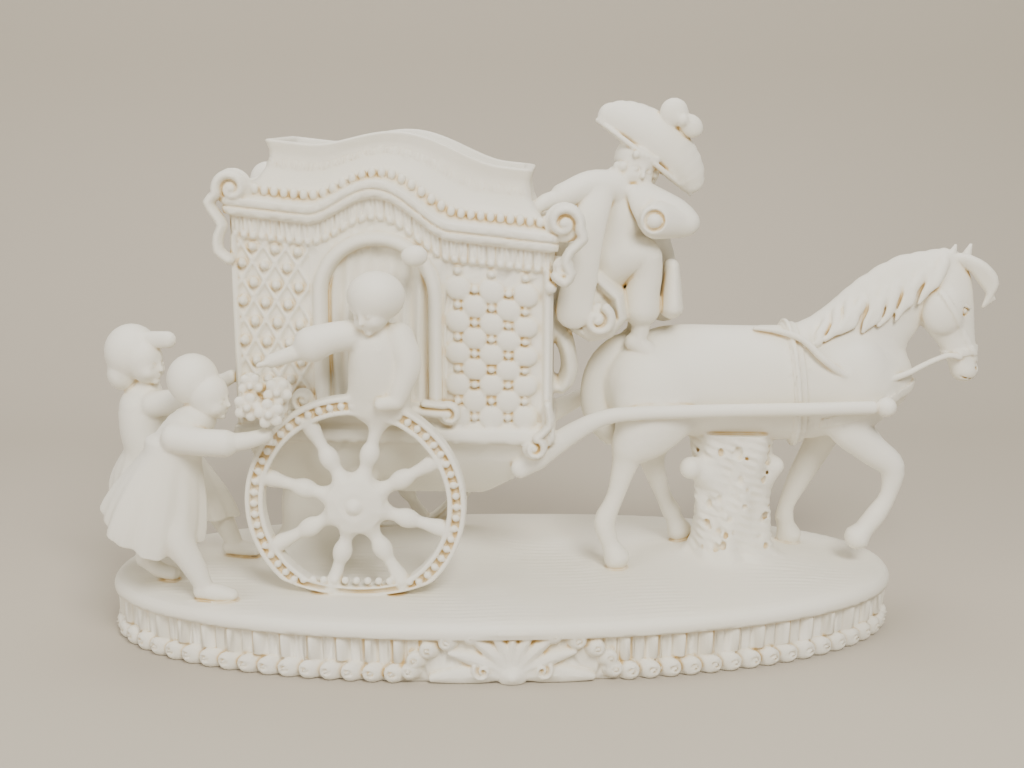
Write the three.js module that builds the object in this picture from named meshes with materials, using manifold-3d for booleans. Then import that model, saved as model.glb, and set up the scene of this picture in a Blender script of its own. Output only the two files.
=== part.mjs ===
// A bisque porcelain group on an oval plinth: a pony draws a two-wheeled coach that stands open at
// the roof as a flower holder, with a driver, a child at the window and two children who push.
// Millimetres, +Z up, +X towards the pony's head. The origin is the middle of the plinth's underside.
import * as THREE from 'three';
import { mergeVertices } from 'three/addons/utils/BufferGeometryUtils.js';
import Module from 'manifold-3d';

const wasm = await Module();
wasm.setup();

// Driving dimensions
const PLINTH = { halfLength: 162.5, halfWidth: 67, power: 2.15, foot: 8, slab: 17.5, top: 24.6, recess: 3.6 };
const REED = { pitch: 11.2, proud: 2 };
const ROSETTE = { pitch: 8.4, proud: 1.4 };
const PALMETTE = { petals: 9, reach: 30, boss: 4.2, garland: 10, garlandRadius: 37 };
const COACH = { x: -45, y: 4, yaw: -5, left: -60, right: 64, halfWidth: 27, wall: 4, slope: -0.107 };
const CORNICE_ARCH = { at: -2.5, half: 27, rise: 12.6 };
const ROOF_ARCH = { at: 7, half: 36, rise: 8.6 };
const WINDOW = { x: -3.5, sill: 99, spring: 141, half: 25, jamb: 5.5 };
const WHEEL = { x: -11.6, z: 61.4, track: 38, radius: 43, rim: 7, thick: 6, spokes: 8, firstSpoke: 29 };
const STUMP = { x: 95.5, y: 4, top: 78, radius: 15.5, flare: 20 };
const HORSE_Y = 4;
const SHAFT = { radius: 2.7, root: 4.4, near: -18.2, far: 26.2 };
const GAP = 0.32;

const TAU = Math.PI * 2;
const degrees = (d) => (d * Math.PI) / 180;
const V = (x, y, z) => new THREE.Vector3(x, y, z);

// Solids

// One closed body from a geometry whose shared corners are merged.
function solid(geometry) {
  geometry.deleteAttribute('normal');
  geometry.deleteAttribute('uv');
  const merged = mergeVertices(geometry, 1e-4);
  const index = Array.from(merged.index.array);
  const triangles = [];
  for (let i = 0; i < index.length; i += 3) {
    const [a, b, c] = index.slice(i, i + 3);
    if (a !== b && b !== c && c !== a) triangles.push(a, b, c);
  }
  return new wasm.Manifold(
    new wasm.Mesh({
      numProp: 3,
      vertProperties: new Float32Array(merged.attributes.position.array),
      triVerts: new Uint32Array(triangles),
    }),
  );
}

function join(parts) {
  return parts.flat(Infinity).reduce((whole, part) => whole.add(part));
}

// The body with the most material, where a cut has left crumbs beside it.
function largest(body) {
  return body.decompose().sort((a, b) => b.volume() - a.volume())[0];
}

function meshed(name, body, material) {
  const { vertProperties, triVerts, numProp } = body.getMesh();
  const position = new Float32Array(triVerts.length * 3);
  triVerts.forEach((v, i) => {
    for (let k = 0; k < 3; k += 1) position[i * 3 + k] = vertProperties[v * numProp + k];
  });
  const geometry = new THREE.BufferGeometry();
  geometry.setAttribute('position', new THREE.BufferAttribute(position, 3));
  geometry.computeVertexNormals();
  const mesh = new THREE.Mesh(geometry, material);
  mesh.name = name;
  return mesh;
}

// Rings of points, each joined to the next, closed by a fan to a point at either end.
function skin(rings, first = middle(rings[0]), last = middle(rings[rings.length - 1])) {
  const sides = rings[0].length;
  const points = [...rings.flat(), first, last];
  const apex = rings.length * sides;
  const index = [];
  for (let r = 0; r + 1 < rings.length; r += 1) {
    for (let s = 0; s < sides; s += 1) {
      const [a, b] = [r * sides + s, r * sides + ((s + 1) % sides)];
      index.push(a, b, b + sides, a, b + sides, a + sides);
    }
  }
  for (let s = 0; s < sides; s += 1) {
    const end = apex - sides;
    index.push(apex, (s + 1) % sides, s, apex + 1, end + s, end + ((s + 1) % sides));
  }
  const geometry = new THREE.BufferGeometry();
  geometry.setAttribute('position', new THREE.Float32BufferAttribute(points.flatMap((p) => p.toArray()), 3));
  geometry.setIndex(index);
  return solid(geometry);
}

function middle(ring) {
  return ring.reduce((sum, p) => sum.add(p), V(0, 0, 0)).divideScalar(ring.length);
}

// A tapering limb through points [x, y, z, r, side]: r is its radius in its own plane and side its
// radius along the axis given, both widened by grow. Its two ends are pointed, or flat with tip 0.
function limb(points, { sides = 5, grow = 0, axis = V(0, 1, 0), tip = 0.6 } = {}) {
  const centres = points.map(([x, y, z]) => V(x, y, z));
  const rings = points.map(([, , , r, side = r], i) => {
    const ahead = centres[Math.min(i + 1, centres.length - 1)];
    const along = ahead.clone().sub(centres[Math.max(i - 1, 0)]).normalize();
    const across = axis.clone().addScaledVector(along, -axis.dot(along)).normalize();
    const up = along.clone().cross(across);
    return { centre: centres[i], along, across, up, r: r + grow, side: side + grow };
  });
  const [first, last] = [rings[0], rings[rings.length - 1]];
  const apex = (ring, way) =>
    ring.centre.clone().addScaledVector(ring.along, way * tip * Math.min(ring.r, ring.side));
  const outline = (ring) =>
    Array.from({ length: sides }, (_, s) => {
      const a = ((s + 0.5) / sides) * TAU;
      return ring.centre
        .clone()
        .addScaledVector(ring.across, ring.side * Math.cos(a))
        .addScaledVector(ring.up, ring.r * Math.sin(a));
    });
  return skin(rings.map(outline), apex(first, -1), apex(last, 1));
}

function ball([x, y, z], radii, { grow = 0, turn = [0, 0, 0], across = 6, down = 4 } = {}) {
  const [a, b, c] = Array.isArray(radii) ? radii : [radii, radii, radii];
  const geometry = new THREE.SphereGeometry(1, across, down);
  geometry.rotateX(Math.PI / 2);
  geometry.scale(a + grow, b + grow, c + grow);
  geometry.applyMatrix4(new THREE.Matrix4().makeRotationFromEuler(new THREE.Euler(...turn.map(degrees))));
  return solid(geometry.translate(x, y, z));
}

// A turned form about an axis along Y, from a profile of [radius, depth] that starts and ends on it.
function turned(profile, [x, y, z], segments) {
  const geometry = new THREE.LatheGeometry(profile.map(([r, d]) => new THREE.Vector2(r, d)), segments);
  return solid(geometry.translate(x, y, z));
}

// A flat shape drawn in X and Z, as thick as the span from near to far along Y.
function slabOf(outline, near, far) {
  const shape = new THREE.Shape(outline.map(([x, z]) => new THREE.Vector2(x, z)));
  const geometry = new THREE.ExtrudeGeometry(shape, { depth: far - near, bevelEnabled: false });
  return solid(geometry.rotateX(Math.PI / 2).translate(0, far, 0));
}

function box([x0, y0, z0], [x1, y1, z1]) {
  const geometry = new THREE.BoxGeometry(x1 - x0, y1 - y0, z1 - z0);
  return solid(geometry.translate((x0 + x1) / 2, (y0 + y1) / 2, (z0 + z1) / 2));
}

// A scroll seen from the side: a round button with a sunk ring and a raised eye, from its carved
// face to its back along Y.
function volute([x, z], radius, face, back, segments = 6) {
  const way = Math.sign(back - face);
  const profile = [
    [0, 0],
    [radius * 0.45, 1.6],
    [radius * 0.75, 0],
    [radius, 1.2],
    [radius, Math.abs(back - face)],
    [0, Math.abs(back - face)],
  ].map(([r, d]) => [r, way * d]);
  return turned(way > 0 ? profile : profile.reverse(), [x, face, z], segments);
}

// Plinth

// A point of the oval at the angle t, set in from the edge.
function oval(t, inset = 0) {
  const { halfLength, halfWidth, power } = PLINTH;
  const bent = (v) => Math.sign(v) * Math.abs(v) ** (2 / power);
  return [(halfLength - inset) * bent(Math.cos(t)), (halfWidth - inset) * bent(Math.sin(t))];
}

// The height of the modelled ground, which swells under the stump and behind the coach.
function ground(x, y) {
  const swell = (cx, cy, rx, ry) => Math.exp(-(((x - cx) / rx) ** 2) - ((y - cy) / ry) ** 2);
  return PLINTH.top + 4.5 * swell(96, 8, 34, 24) + 6 * swell(-30, 22, 42, 20) + 1.2 * swell(-120, 10, 30, 30);
}

// Angles at which marks stand evenly along the oval, starting from the middle of the front.
function evenAngles(pitch) {
  const steps = 1440;
  const front = -Math.PI / 2;
  const walk = [0];
  for (let i = 1; i <= steps; i += 1) {
    const [[x0, y0], [x1, y1]] = [i - 1, i].map((k) => oval(front + (k / steps) * TAU));
    walk.push(walk[i - 1] + Math.hypot(x1 - x0, y1 - y0));
  }
  const count = Math.round(walk[steps] / pitch);
  return Array.from({ length: count }, (_, k) => {
    const target = ((k + 0.5) / count) * walk[steps];
    return front + (walk.findIndex((w) => w >= target) / steps) * TAU;
  });
}

function plinth() {
  const { foot, slab, top, recess } = PLINTH;
  // The oval at one height, whose edge steps through a pattern of insets at an even pitch.
  const edge = (pitch, insets, z) =>
    evenAngles(pitch / insets.length).map((t, i) => V(...oval(t, insets[i % insets.length]), z));
  const layer = (pitch, insets, levels) => skin(levels.map((z) => edge(pitch, insets, z)));
  const rim = [
    [1, slab],
    [0, slab + 3],
    [3, top],
  ];
  const around = evenAngles(PLINTH.halfLength / 7);
  const slabRings = [
    ...rim.map(([inset, z]) => around.map((t) => V(...oval(t, inset), z))),
    ...[0.72, 0.36].map((share) =>
      around.map((t) => {
        const [x, y] = oval(t).map((v) => v * share);
        return V(x, y, ground(x, y));
      }),
    ),
  ];
  return join([
    layer(ROSETTE.pitch, [0, ROSETTE.proud], [0, foot]),
    layer(REED.pitch, [recess - REED.proud, recess], [foot - 0.5, slab + 0.5]),
    skin(slabRings),
    palmette(),
  ]);
}

// The fan of petals in the middle of the front, under an arch of buds.
function palmette() {
  const { petals, reach, boss, garland, garlandRadius } = PALMETTE;
  const face = 1.4;
  const onFront = (x) => {
    const t = -Math.acos(Math.sign(x) * Math.abs(x / PLINTH.halfLength) ** (PLINTH.power / 2));
    return oval(t)[1];
  };
  const fan = Array.from({ length: petals }, (_, i) => {
    const a = degrees(6 + (168 * i) / (petals - 1));
    const far = reach * (1 - 0.52 * Math.sin(a) ** 2);
    const spots = [0.2, 0.7, 1].map((s) => {
      const x = Math.cos(a) * far * s;
      return [x, onFront(x) - face + 1.2, 3 + Math.sin(a) * far * s, 1.1 + 1.6 * Math.sin(s * 2.4), 1.6];
    });
    return limb(spots, { sides: 4, tip: 0 });
  });
  const buds = Array.from({ length: garland }, (_, i) => {
    const a = degrees(4 + (172 * i) / (garland - 1));
    const x = Math.cos(a) * garlandRadius;
    return ball([x, onFront(x) + 1.4, 3.4 + Math.sin(a) * 15.6], [3, 3.2, 3], { across: 4, down: 3 });
  });
  return [fan, buds, ball([0, onFront(0) + 0.4, 3.4], [boss, 2.4, 2.8])];
}

// The pitted tree stump under the pony's belly, with a sawn knot on the near side.
function stump() {
  const { x, y, top, radius, flare } = STUMP;
  const levels = [
    [ground(x, y) - 4, flare + 1],
    [ground(x, y) + 3, flare - 2],
    [ground(x, y) + 12, radius],
    [ground(x, y) + 28, radius - 0.5],
    [top - 8, radius + 1.5],
    [top, radius + 0.5],
  ];
  const rings = levels.map(([z, r], k) =>
    Array.from({ length: 9 }, (_, s) => {
      const a = (s / 9) * TAU;
      const lobe = r * (1 + 0.07 * Math.sin(3 * a + k) + 0.04 * Math.sin(5 * a + 2 * k));
      return V(x + lobe * Math.cos(a), y + lobe * 0.82 * Math.sin(a), z);
    }),
  );
  const knot = limb([[x - 11, y - 6, top - 14, 6], [x - 20, y - 10, top - 11, 4.8]]);
  const burr = limb([[x + 11, y - 3, top - 18, 7], [x + 17, y - 5, top - 13, 4.2]]);
  return [skin(rings), knot, burr];
}

// The rough rock under the coach's tail, which carries its floor.
function rock() {
  return limb([[-84, 8, 22, 17, 14], [-82, 8, 36, 13, 12], [-78, 7, 57.6, 17, 12]], { sides: 8, tip: 0 });
}

// Coach

// An arch part of the way from the cornice's to the roof's.
function archBetween(share) {
  const mix = (key) => CORNICE_ARCH[key] + (ROOF_ARCH[key] - CORNICE_ARCH[key]) * share;
  return { at: mix('at'), half: mix('half'), rise: mix('rise') };
}

// How far an arch lifts the mouldings at x, measured from the coach's middle.
function archLift(x, { at, half, rise }) {
  const from = Math.abs(x - at) / half;
  return from >= 1 ? 0 : rise * (0.5 + 0.5 * Math.cos(Math.PI * from)) ** 0.8;
}

// One level of the coach: a chamfered oblong in plan, at a height that follows the slope and the arch.
function level(left, right, halfWidth, z, arch) {
  const corner = Math.min(5, halfWidth * 0.4);
  const points = [];
  const run = (x0, y0, x1, y1, n) => {
    for (let i = 0; i < n; i += 1) points.push([x0 + ((x1 - x0) * i) / n, y0 + ((y1 - y0) * i) / n]);
  };
  run(left + corner, -halfWidth, right - corner, -halfWidth, 9);
  run(right, -halfWidth + corner, right, halfWidth - corner, 1);
  run(right - corner, halfWidth, left + corner, halfWidth, 9);
  run(left, halfWidth - corner, left, -halfWidth + corner, 1);
  return points.map(([x, y]) => V(x, y, arch ? z + COACH.slope * x + archLift(x, arch) : z));
}

function coachShell() {
  const { left: A, right: B, halfWidth: W, wall } = COACH;
  const [cornice, cove, roof] = [0, 0.35, 1].map(archBetween);
  return skin([
    level(A + 20, B - 26, 9, 57),
    level(A + 10, B - 15, 18, 66),
    level(A + 2, B - 4, W - 1, 82),
    level(A - 1, B + 1, W + 2.6, 83.5),
    level(A - 1, B + 1, W + 2.6, 89.5),
    level(A, B, W, 91),
    level(A, B, W, 164, cornice),
    level(A - 2, B + 2, W + 4, 166, cornice),
    level(A - 2, B + 2, W + 4, 172, cornice),
    level(A + 4, B - 4, W + 1, 175.5, cornice),
    level(A + 11, B - 7, W - 3, 179.5, cove),
    level(A + 15, B - 9.5, W - 4.4, 187, roof),
    level(A + 14, B - 9, W - 2.6, 192, roof),
    level(A + 19, B - 12, W - 6, 194, roof),
    level(A + 15 + wall, B - 9.5 - wall, W - 4.4 - wall, 184, roof),
    level(A + wall, B - wall, W - wall, 165, cornice),
    level(A + wall + 4, B - wall - 6, W - wall - 4, 96),
  ]);
}

// The arched window frame of the near side, with hanging curtain folds inside it.
function windowFrame() {
  const { x: cx, sill, spring, half, jamb } = WINDOW;
  const near = -COACH.halfWidth;
  const arc = (r, from, to, n) =>
    Array.from({ length: n + 1 }, (_, i) => {
      const a = degrees(from + ((to - from) * i) / n);
      return [cx + r * Math.cos(a), spring + r * 0.96 * Math.sin(a)];
    });
  const frame = [
    [cx - half, sill],
    [cx - half + jamb, sill],
    ...arc(half - jamb, 180, 0, 6),
    [cx + half - jamb, sill],
    [cx + half, sill],
    ...arc(half, 0, 180, 6),
  ];
  const folds = [-14, 14].map((x) =>
    limb([[cx + x, near - 0.3, sill + 4, 4, 1.4], [cx + x * 0.7, near - 0.3, spring + 12, 3, 1.2]],
      { sides: 4 }),
  );
  return [
    slabOf(frame.reverse(), near - 3.4, near + 1),
    box([cx - half - 2, near - 5.5, sill - 4], [cx + half, near + 1, sill]),
    volute([cx - half - 3, sill + 2], 5.2, near - 5.6, near + 1),
    volute([cx + half + 2, sill - 2], 5.5, near - 5.6, near + 1),
    folds,
  ];
}

// Raised cells between the mouldings, staggered row by row.
function panelCells(x0, x1, z0, rows, pitch, rise) {
  const cells = [];
  const columns = Math.floor((x1 - x0) / pitch);
  for (let row = 0; row < rows; row += 1) {
    for (let c = 0; c < columns; c += 1) {
      const x = x0 + pitch * (c + (row % 2 ? 1 : 0.5));
      if (x > x1 - pitch * 0.3) continue;
      const button = new THREE.ConeGeometry(pitch * 0.5, 2.2, 4).rotateX(Math.PI / 2);
      cells.push(solid(button.translate(x, -COACH.halfWidth - 0.3, z0 + rise * row)));
    }
  }
  return cells;
}

// Scrolls at the corners, the carved brackets and the seat that carries the driver.
function coachScrolls() {
  const { left: A, right: B, halfWidth: W } = COACH;
  const parts = [];
  for (const side of [-1, 1]) {
    const [face, back, y] = [side * (W + 6), side * (W - 1), side * (W + 2.5)];
    parts.push(volute([A + 2.6, 182], 8, face, back));
    parts.push(limb([[A - 4, y, 178, 3], [A - 2.6, y, 167, 2.6], [A + 1, y, 157, 2]]));
    parts.push(volute([B + 3.8, 170], 8.4, face, back));
    parts.push(limb([[B + 9, y, 168, 3], [B + 8, y, 158, 2.6], [B + 2, y, 152, 3]]));
    parts.push(ball([B - 1, y - side, 145.5], 2.6, { down: 3 }));
    parts.push(volute([B - 6.5, 82.5], 5.6, face, back));
  }
  const seat = [[B - 6, 128], [B + 5, 127], [B + 12, 121], [B + 20, 121.5], [B + 26, 128], [B + 27, 137],
    [B + 18, 147], [B - 6, 152]];
  parts.push(slabOf(seat, -13, 17));
  parts.push(volute([B + 16, 128], 6.5, -15, -12));
  const bracket = [[B - 4, 0, 130, 3, 12], [B + 2, 0, 121, 3, 11], [B + 5, 0, 110, 3, 10],
    [B - 1, 0, 101, 3, 9]];
  parts.push(limb(bracket));
  return parts;
}

// The axle and the beam that ties it to the coach's floor.
function underCoach() {
  const { halfWidth: W } = COACH;
  const axleX = WHEEL.x;
  const axle = limb([[axleX, -WHEEL.track + 4, WHEEL.z, 3.4], [axleX, WHEEL.track - 4, WHEEL.z, 3.4]], {
    axis: V(1, 0, 0),
    tip: 0,
  });
  const bolster = box([axleX - 5, -W + 6, WHEEL.z - 4], [axleX + 5, W - 6, WHEEL.z + 8]);
  return [axle, bolster];
}

function placedCoach(body) {
  return body.rotate([0, 0, COACH.yaw]).translate([COACH.x, COACH.y, 0]);
}

function coach() {
  const cells = [
    panelCells(23, 61, 99, 4, 12, 14),
    panelCells(-59, -30, 105, 4, 12, 14),
  ];
  return placedCoach(join([coachShell(), windowFrame(), cells, coachScrolls(), underCoach()]));
}

// Wheels

function wheel(side) {
  const { track, radius, rim, thick, spokes, firstSpoke, x, z } = WHEEL;
  const out = side * track;
  const centre = [x, out, z];
  const ring = [
    [radius - rim, -thick / 2],
    [radius, -thick / 2],
    [radius, thick / 2],
    [radius - rim, thick / 2],
    [radius - rim, -thick / 2],
  ];
  const hub = [
    [0, -6.5],
    [4.5, -5],
    [9, -3],
    [9, 3],
    [0, 4.5],
  ];
  const facing = (profile) => profile.map(([r, d]) => [r, side < 0 ? d : -d]);
  const ordered = (profile) => (side < 0 ? facing(profile) : facing(profile).reverse());
  const parts = [turned(ordered(ring), centre, 24), turned(ordered(hub), centre, 8)];
  for (let i = 0; i < spokes; i += 1) {
    const a = degrees(firstSpoke + (360 * i) / spokes);
    const at = (r, size) => [centre[0] + r * Math.cos(a), centre[1], centre[2] + r * Math.sin(a), size];
    const baluster = [at(8, 3), at(20, 3.8), at(25, 2), at(37, 3.6)];
    parts.push(limb(baluster, { sides: 4, tip: 0 }));
  }
  return placedCoach(join(parts));
}

// Pony

const PONY = {
  body: [
    [50, 98, 11, 8], [57, 101, 19, 13], [68, 102, 22.6, 16.4], [88, 101.5, 23.4, 17], [108, 100.6, 24, 17],
    [126, 101, 24, 16], [141, 102.5, 22.4, 14], [153, 103, 17, 10.5], [160, 102, 9, 6.5],
  ],
  neck: [
    [129, 106, 20, 12], [143, 117.5, 19, 9.4], [154.6, 130.4, 17, 7.8], [165, 140.6, 13.8, 6.4],
    [176, 146, 10.4, 5.8],
  ],
  head: [
    [182, 150, 6, 5], [181, 142, 10.4, 6.8], [181.6, 132, 11.6, 7.4], [185.6, 122, 8.8, 6.2],
    [188.6, 113.5, 7, 5.4], [190, 107.5, 5.4, 4.6],
  ],
  tail: [
    [59, 117, 3.6], [49, 117, 4.6], [40, 110, 5.4], [36.5, 99, 5.6], [38, 88, 5.8], [44, 80, 5], [51, 77, 3],
  ],
  legs: {
    nearHind: [
      [-8, 62, 96, 18, 9], [-9, 57, 85, 13, 8], [-9, 50.6, 77, 8, 6], [-9, 48.6, 71, 5.6, 4.2],
      [-9, 44.6, 56, 3.6, 3.2], [-9, 40.4, 45, 4.4, 4], [-9, 42.4, 37, 3.8, 3.8], [-9, 45.4, 31, 5.8, 5],
    ],
    farHind: [
      [14, 62, 96, 17, 9], [16, 66, 82, 11, 8], [17, 63.4, 70, 7, 5], [18, 64, 62, 5, 4],
      [18, 69, 48, 3.4, 3.2], [18, 73, 40, 4.1, 3.8], [18, 76, 33.5, 5.4, 5],
    ],
    nearFore: [
      [-4, 147, 99, 14, 8], [-6, 141, 86, 9.4, 6.6], [-7, 150, 75.5, 6.6, 5.2], [-7, 160, 67, 5.2, 4.6],
      [-7, 159.4, 55, 3.4, 3.2], [-7, 155, 46.6, 4.2, 3.8], [-7, 151, 40.6, 4.8, 4.8],
      [-7, 149, 37.5, 5.4, 5.2],
    ],
    farFore: [
      [13, 145, 96, 13, 8], [15, 140, 84, 8.6, 6.2], [16, 135, 70, 6.4, 5], [17, 128.4, 55.6, 5, 4.6],
      [17, 123.4, 43.6, 3.4, 3.2], [17, 122.6, 37.6, 4, 3.8], [17, 124.6, 31, 5.4, 5],
    ],
  },
};

function ponySpine(list, grow) {
  return limb(list.map(([x, z, r, side]) => [x, HORSE_Y, z, r, side]), { sides: 8, grow });
}

function ponyLegs(grow) {
  return Object.values(PONY.legs).map((list) =>
    limb(list.map(([y, x, z, r, side]) => [x, y, z, r, side]), { grow, tip: 0.3 }),
  );
}

function mane(grow) {
  const locks = [];
  for (let i = 0; i < 6; i += 1) {
    const s = i / 5;
    const [x, z] = [172 - 44 * s, 152 - 27 * s + 2.5 * Math.sin(Math.PI * s)];
    locks.push(
      limb([[x, HORSE_Y - 2, z, 3.4], [x - 2, HORSE_Y - 6.4 - 3 * s, z - 6, 3.2, 2.4],
        [x - 7, HORSE_Y - 8 - 4.6 * s, z - 13, 1.8, 1.6]], {
        grow,
        sides: 4,
      }),
    );
  }
  return locks;
}

// The harness on the pony: the girth, the breast strap, the noseband and the near rein.
function harness() {
  const hoop = (x, half, high, wide) => {
    const profile = [[1.06, -wide], [1.06, wide], [0.7, wide], [0.7, -wide], [1.06, -wide]];
    const ring = new THREE.LatheGeometry(profile.map(([r, d]) => new THREE.Vector2(r, d)), 12);
    ring.rotateZ(-Math.PI / 2).scale(1, half, high);
    return solid(ring.translate(x, HORSE_Y, 100.8));
  };
  const rein = [[181, -3.4, 116, 1.1], [171, -5.4, 109, 1.1], [163, -6, 106.6, 1.1], [150, -8, 104.4, 1.3],
    [138, -9.6, 106.6, 1.3], [127, -10.6, 114, 1.3], [119, -8.4, 121.4, 1.3]];
  return [hoop(117, 16.4, 23.7, 2.4), limb(rein, { sides: 4, tip: 0 })];
}

function pony(grow = 0) {
  const ears = [[180, 1.5], [189, 4.6]].map(([x, y]) =>
    limb([[x, HORSE_Y + y - 4, 150, 2.6, 1.8], [x - 0.6, HORSE_Y + y - 4, 156, 0.9]], { grow }),
  );
  const forelock = limb([[187, 2, 152, 3.4], [193, 0, 146, 3.6, 3], [199, -1, 136.5, 1.8]], { grow });
  return join([
    ponySpine(PONY.body, grow),
    ponySpine(PONY.neck, grow),
    limb(PONY.head.map(([x, z, r, side], i) => [x, HORSE_Y - 0.6 * i, z, r, side]), { sides: 8, grow }),
    limb(PONY.tail.map(([x, z, r]) => [x, HORSE_Y - 1, z, r]), { grow }),
    ponyLegs(grow),
    mane(grow),
    ears,
    forelock,
    grow ? [] : harness(),
  ]);
}

// Shafts, from the coach's lower corners along the pony's flanks

function shaft(y, fromY, grow = 0) {
  const mid = (fromY + y) / 2;
  const path = [[4, fromY, 71.6, 3.6], [11, fromY, 76.6, SHAFT.root], [17, fromY, 81.4, SHAFT.root],
    [26, mid, 86.6, 4],
    [38, y, 91.4, 3.2], [52, y, 93.2], [84, y, 94], [116, y, 94.4], [146, y, 95], [152, y, 95.2, 4]];
  return limb(path.map(([x, yy, z, r = SHAFT.radius]) => [x, yy, z, r,
    Math.min(r, 3)]), { grow, sides: 6 });
}

// Figures

// A head with its hair: a ball for the face, one for the hair behind it, and locks round the brow.
function head([x, y, z], size, facing, hair, grow) {
  const a = degrees(facing);
  const [dx, dy] = [Math.cos(a), Math.sin(a)];
  const face = ball([x + dx * size * 0.22, y + dy * size * 0.22, z], [size * 0.84, size * 0.84, size],
    { grow });
  const tip = [x + dx * size * 1.02, y + dy * size * 1.02, z - size * 0.14];
  const crown = [x - dx * size * 0.3, y - dy * size * 0.3, z + size * 0.22];
  return [face, ball(tip, size * 0.16, { grow, down: 3 }), ball(crown, size * hair, { grow })];
}

// A skirt that opens from the waist in folds, each a ridge of the rim. Lean tips the hem along X, in
// degrees, and dip lowers its near side.
function skirt(waist, hem, [rx, ry, hx, hy], folds, grow, lean, dip) {
  const depth = 0.08;
  const sides = folds * 2;
  const rings = [0, 0.5, 1].map((s) =>
    Array.from({ length: sides }, (_, i) => {
      const a = (i / sides) * TAU;
      const ridge = 1 + (i % 2 ? -depth : depth) * s;
      const [cx, cy, cz] = waist.map((w, k) => w + (hem[k] - w) * s);
      const swell = Math.sin((s * Math.PI) / 2);
      const wide = [rx + (hx - rx) * swell + grow, ry + (hy - ry) * swell + grow];
      const out = wide[0] * ridge * Math.cos(a);
      const tip = degrees(lean) * s;
      const z = cz + out * Math.sin(tip) + dip * s * Math.sin(a) - (s === 1 ? grow : 0);
      return V(cx + out * Math.cos(tip), cy + wide[1] * ridge * Math.sin(a), z);
    }),
  );
  return skin(rings.reverse());
}

// The driver on the box seat, in an open coat and a cocked hat, with one hand on the coach's corner.
function driver(grow = 0) {
  const tilt = degrees(-37);
  const hat = [-1, -0.8, -0.4, 0, 0.4, 0.8, 1].map((s) => {
    const high = 1.5 + 8.2 * Math.sqrt(1 - s * s);
    const [along, up] = [23 * s, high - 1];
    const x = along * Math.cos(tilt) - up * Math.sin(tilt);
    const z = along * Math.sin(tilt) + up * Math.cos(tilt);
    return [54 + x, 0, 193 + z, high, 1.5 + 6.5 * (1 - s * s)];
  });
  return join([
    head([50.6, -1, 190], 9, -70, 1.06, grow),
    limb(hat, { grow, sides: 6, tip: 0 }),
    ball([65, -4, 210.5], [5.4, 3.4, 6], { grow }),
    ball([72, -4, 206], [5, 3.4, 4.4], { grow }),
    limb([[47, 1, 180, 6, 6], [46, 1, 174, 10, 10], [44, 1, 163, 10, 11], [42, 1, 152, 11, 12]],
      { grow, sides: 8 }),
    limb([[50, -8, 181, 3], [52, -10, 175, 3.6, 2], [54, -10, 168, 3, 1.6]], { grow }),
    limb([[42, -4, 181.6, 6.4], [32, -7, 182.4, 5.6], [21, -12, 178.6, 5]], { grow }),
    limb([[21, -12, 178, 3.4], [11, -17, 175.4, 3, 3]], { grow }),
    limb([[54, -6, 178, 5.6], [66, -8, 172, 5.6], [71, -8, 168.4, 5.4]], { grow }),
    limb([[67, -9, 168.4, 5.8, 5], [57, -13, 169, 7, 4.4]], { grow, tip: 0.2 }),
    limb([[35, -9, 180, 6.6, 3.4], [30, -15, 160, 6.6, 2.6], [25.4, -17.4, 132, 6.6, 2]], { grow, tip: 0 }),
    limb([[56, 6, 168, 7, 4], [61, 8, 152, 8, 3.4], [65, 8, 131, 6.6, 2.2]], { grow, tip: 0 }),
    [-5, 7].map((y) => [
      limb([[42, y, 152, 7.6], [54, y - 1, 154, 7], [54, y - 1, 142, 6.6], [53.6, y - 1, 131, 8.4]],
        { grow, tip: 0 }),
      limb([[55, y - 1, 134, 4], [52, y - 1, 121, 3.6], [61, y - 2, 113, 2.6]], { grow }),
    ]),
  ]);
}

// The child who leans out of the window and reaches for the flowers.
function windowChild(grow = 0) {
  return join([
    head([-50, -40, 140.6], 9.4, -130, 1.16, grow),
    ball([-43.5, -37, 148], [11, 9, 9], { grow }),
    ball([-36, -35, 158], [5, 4, 4], { grow }),
    ball([-34, -36, 143], [5, 4, 7], { grow }),
    limb([[-52, -36, 130, 7, 6], [-51, -36, 124, 11, 8], [-50, -34, 112, 12, 8], [-50, -32, 104, 12, 8]],
      { grow, sides: 8 }),
    limb([[-60, -38, 129, 5.4], [-70, -41, 127.5, 5.6], [-75, -42, 126, 6.6, 6]], { grow, tip: 0 }),
    limb([[-74, -42, 125, 3.2], [-84, -43, 121.6, 2.8], [-92, -43, 119.4, 2.9, 2.2]], { grow }),
    limb([[-42, -38, 128, 5.4], [-38.6, -40, 118, 4.8], [-43, -41, 106, 3.8]], { grow }),
    limb([[-43, -42, 104, 3], [-49, -42, 103, 2.6]], { grow }),
  ]);
}

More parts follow.
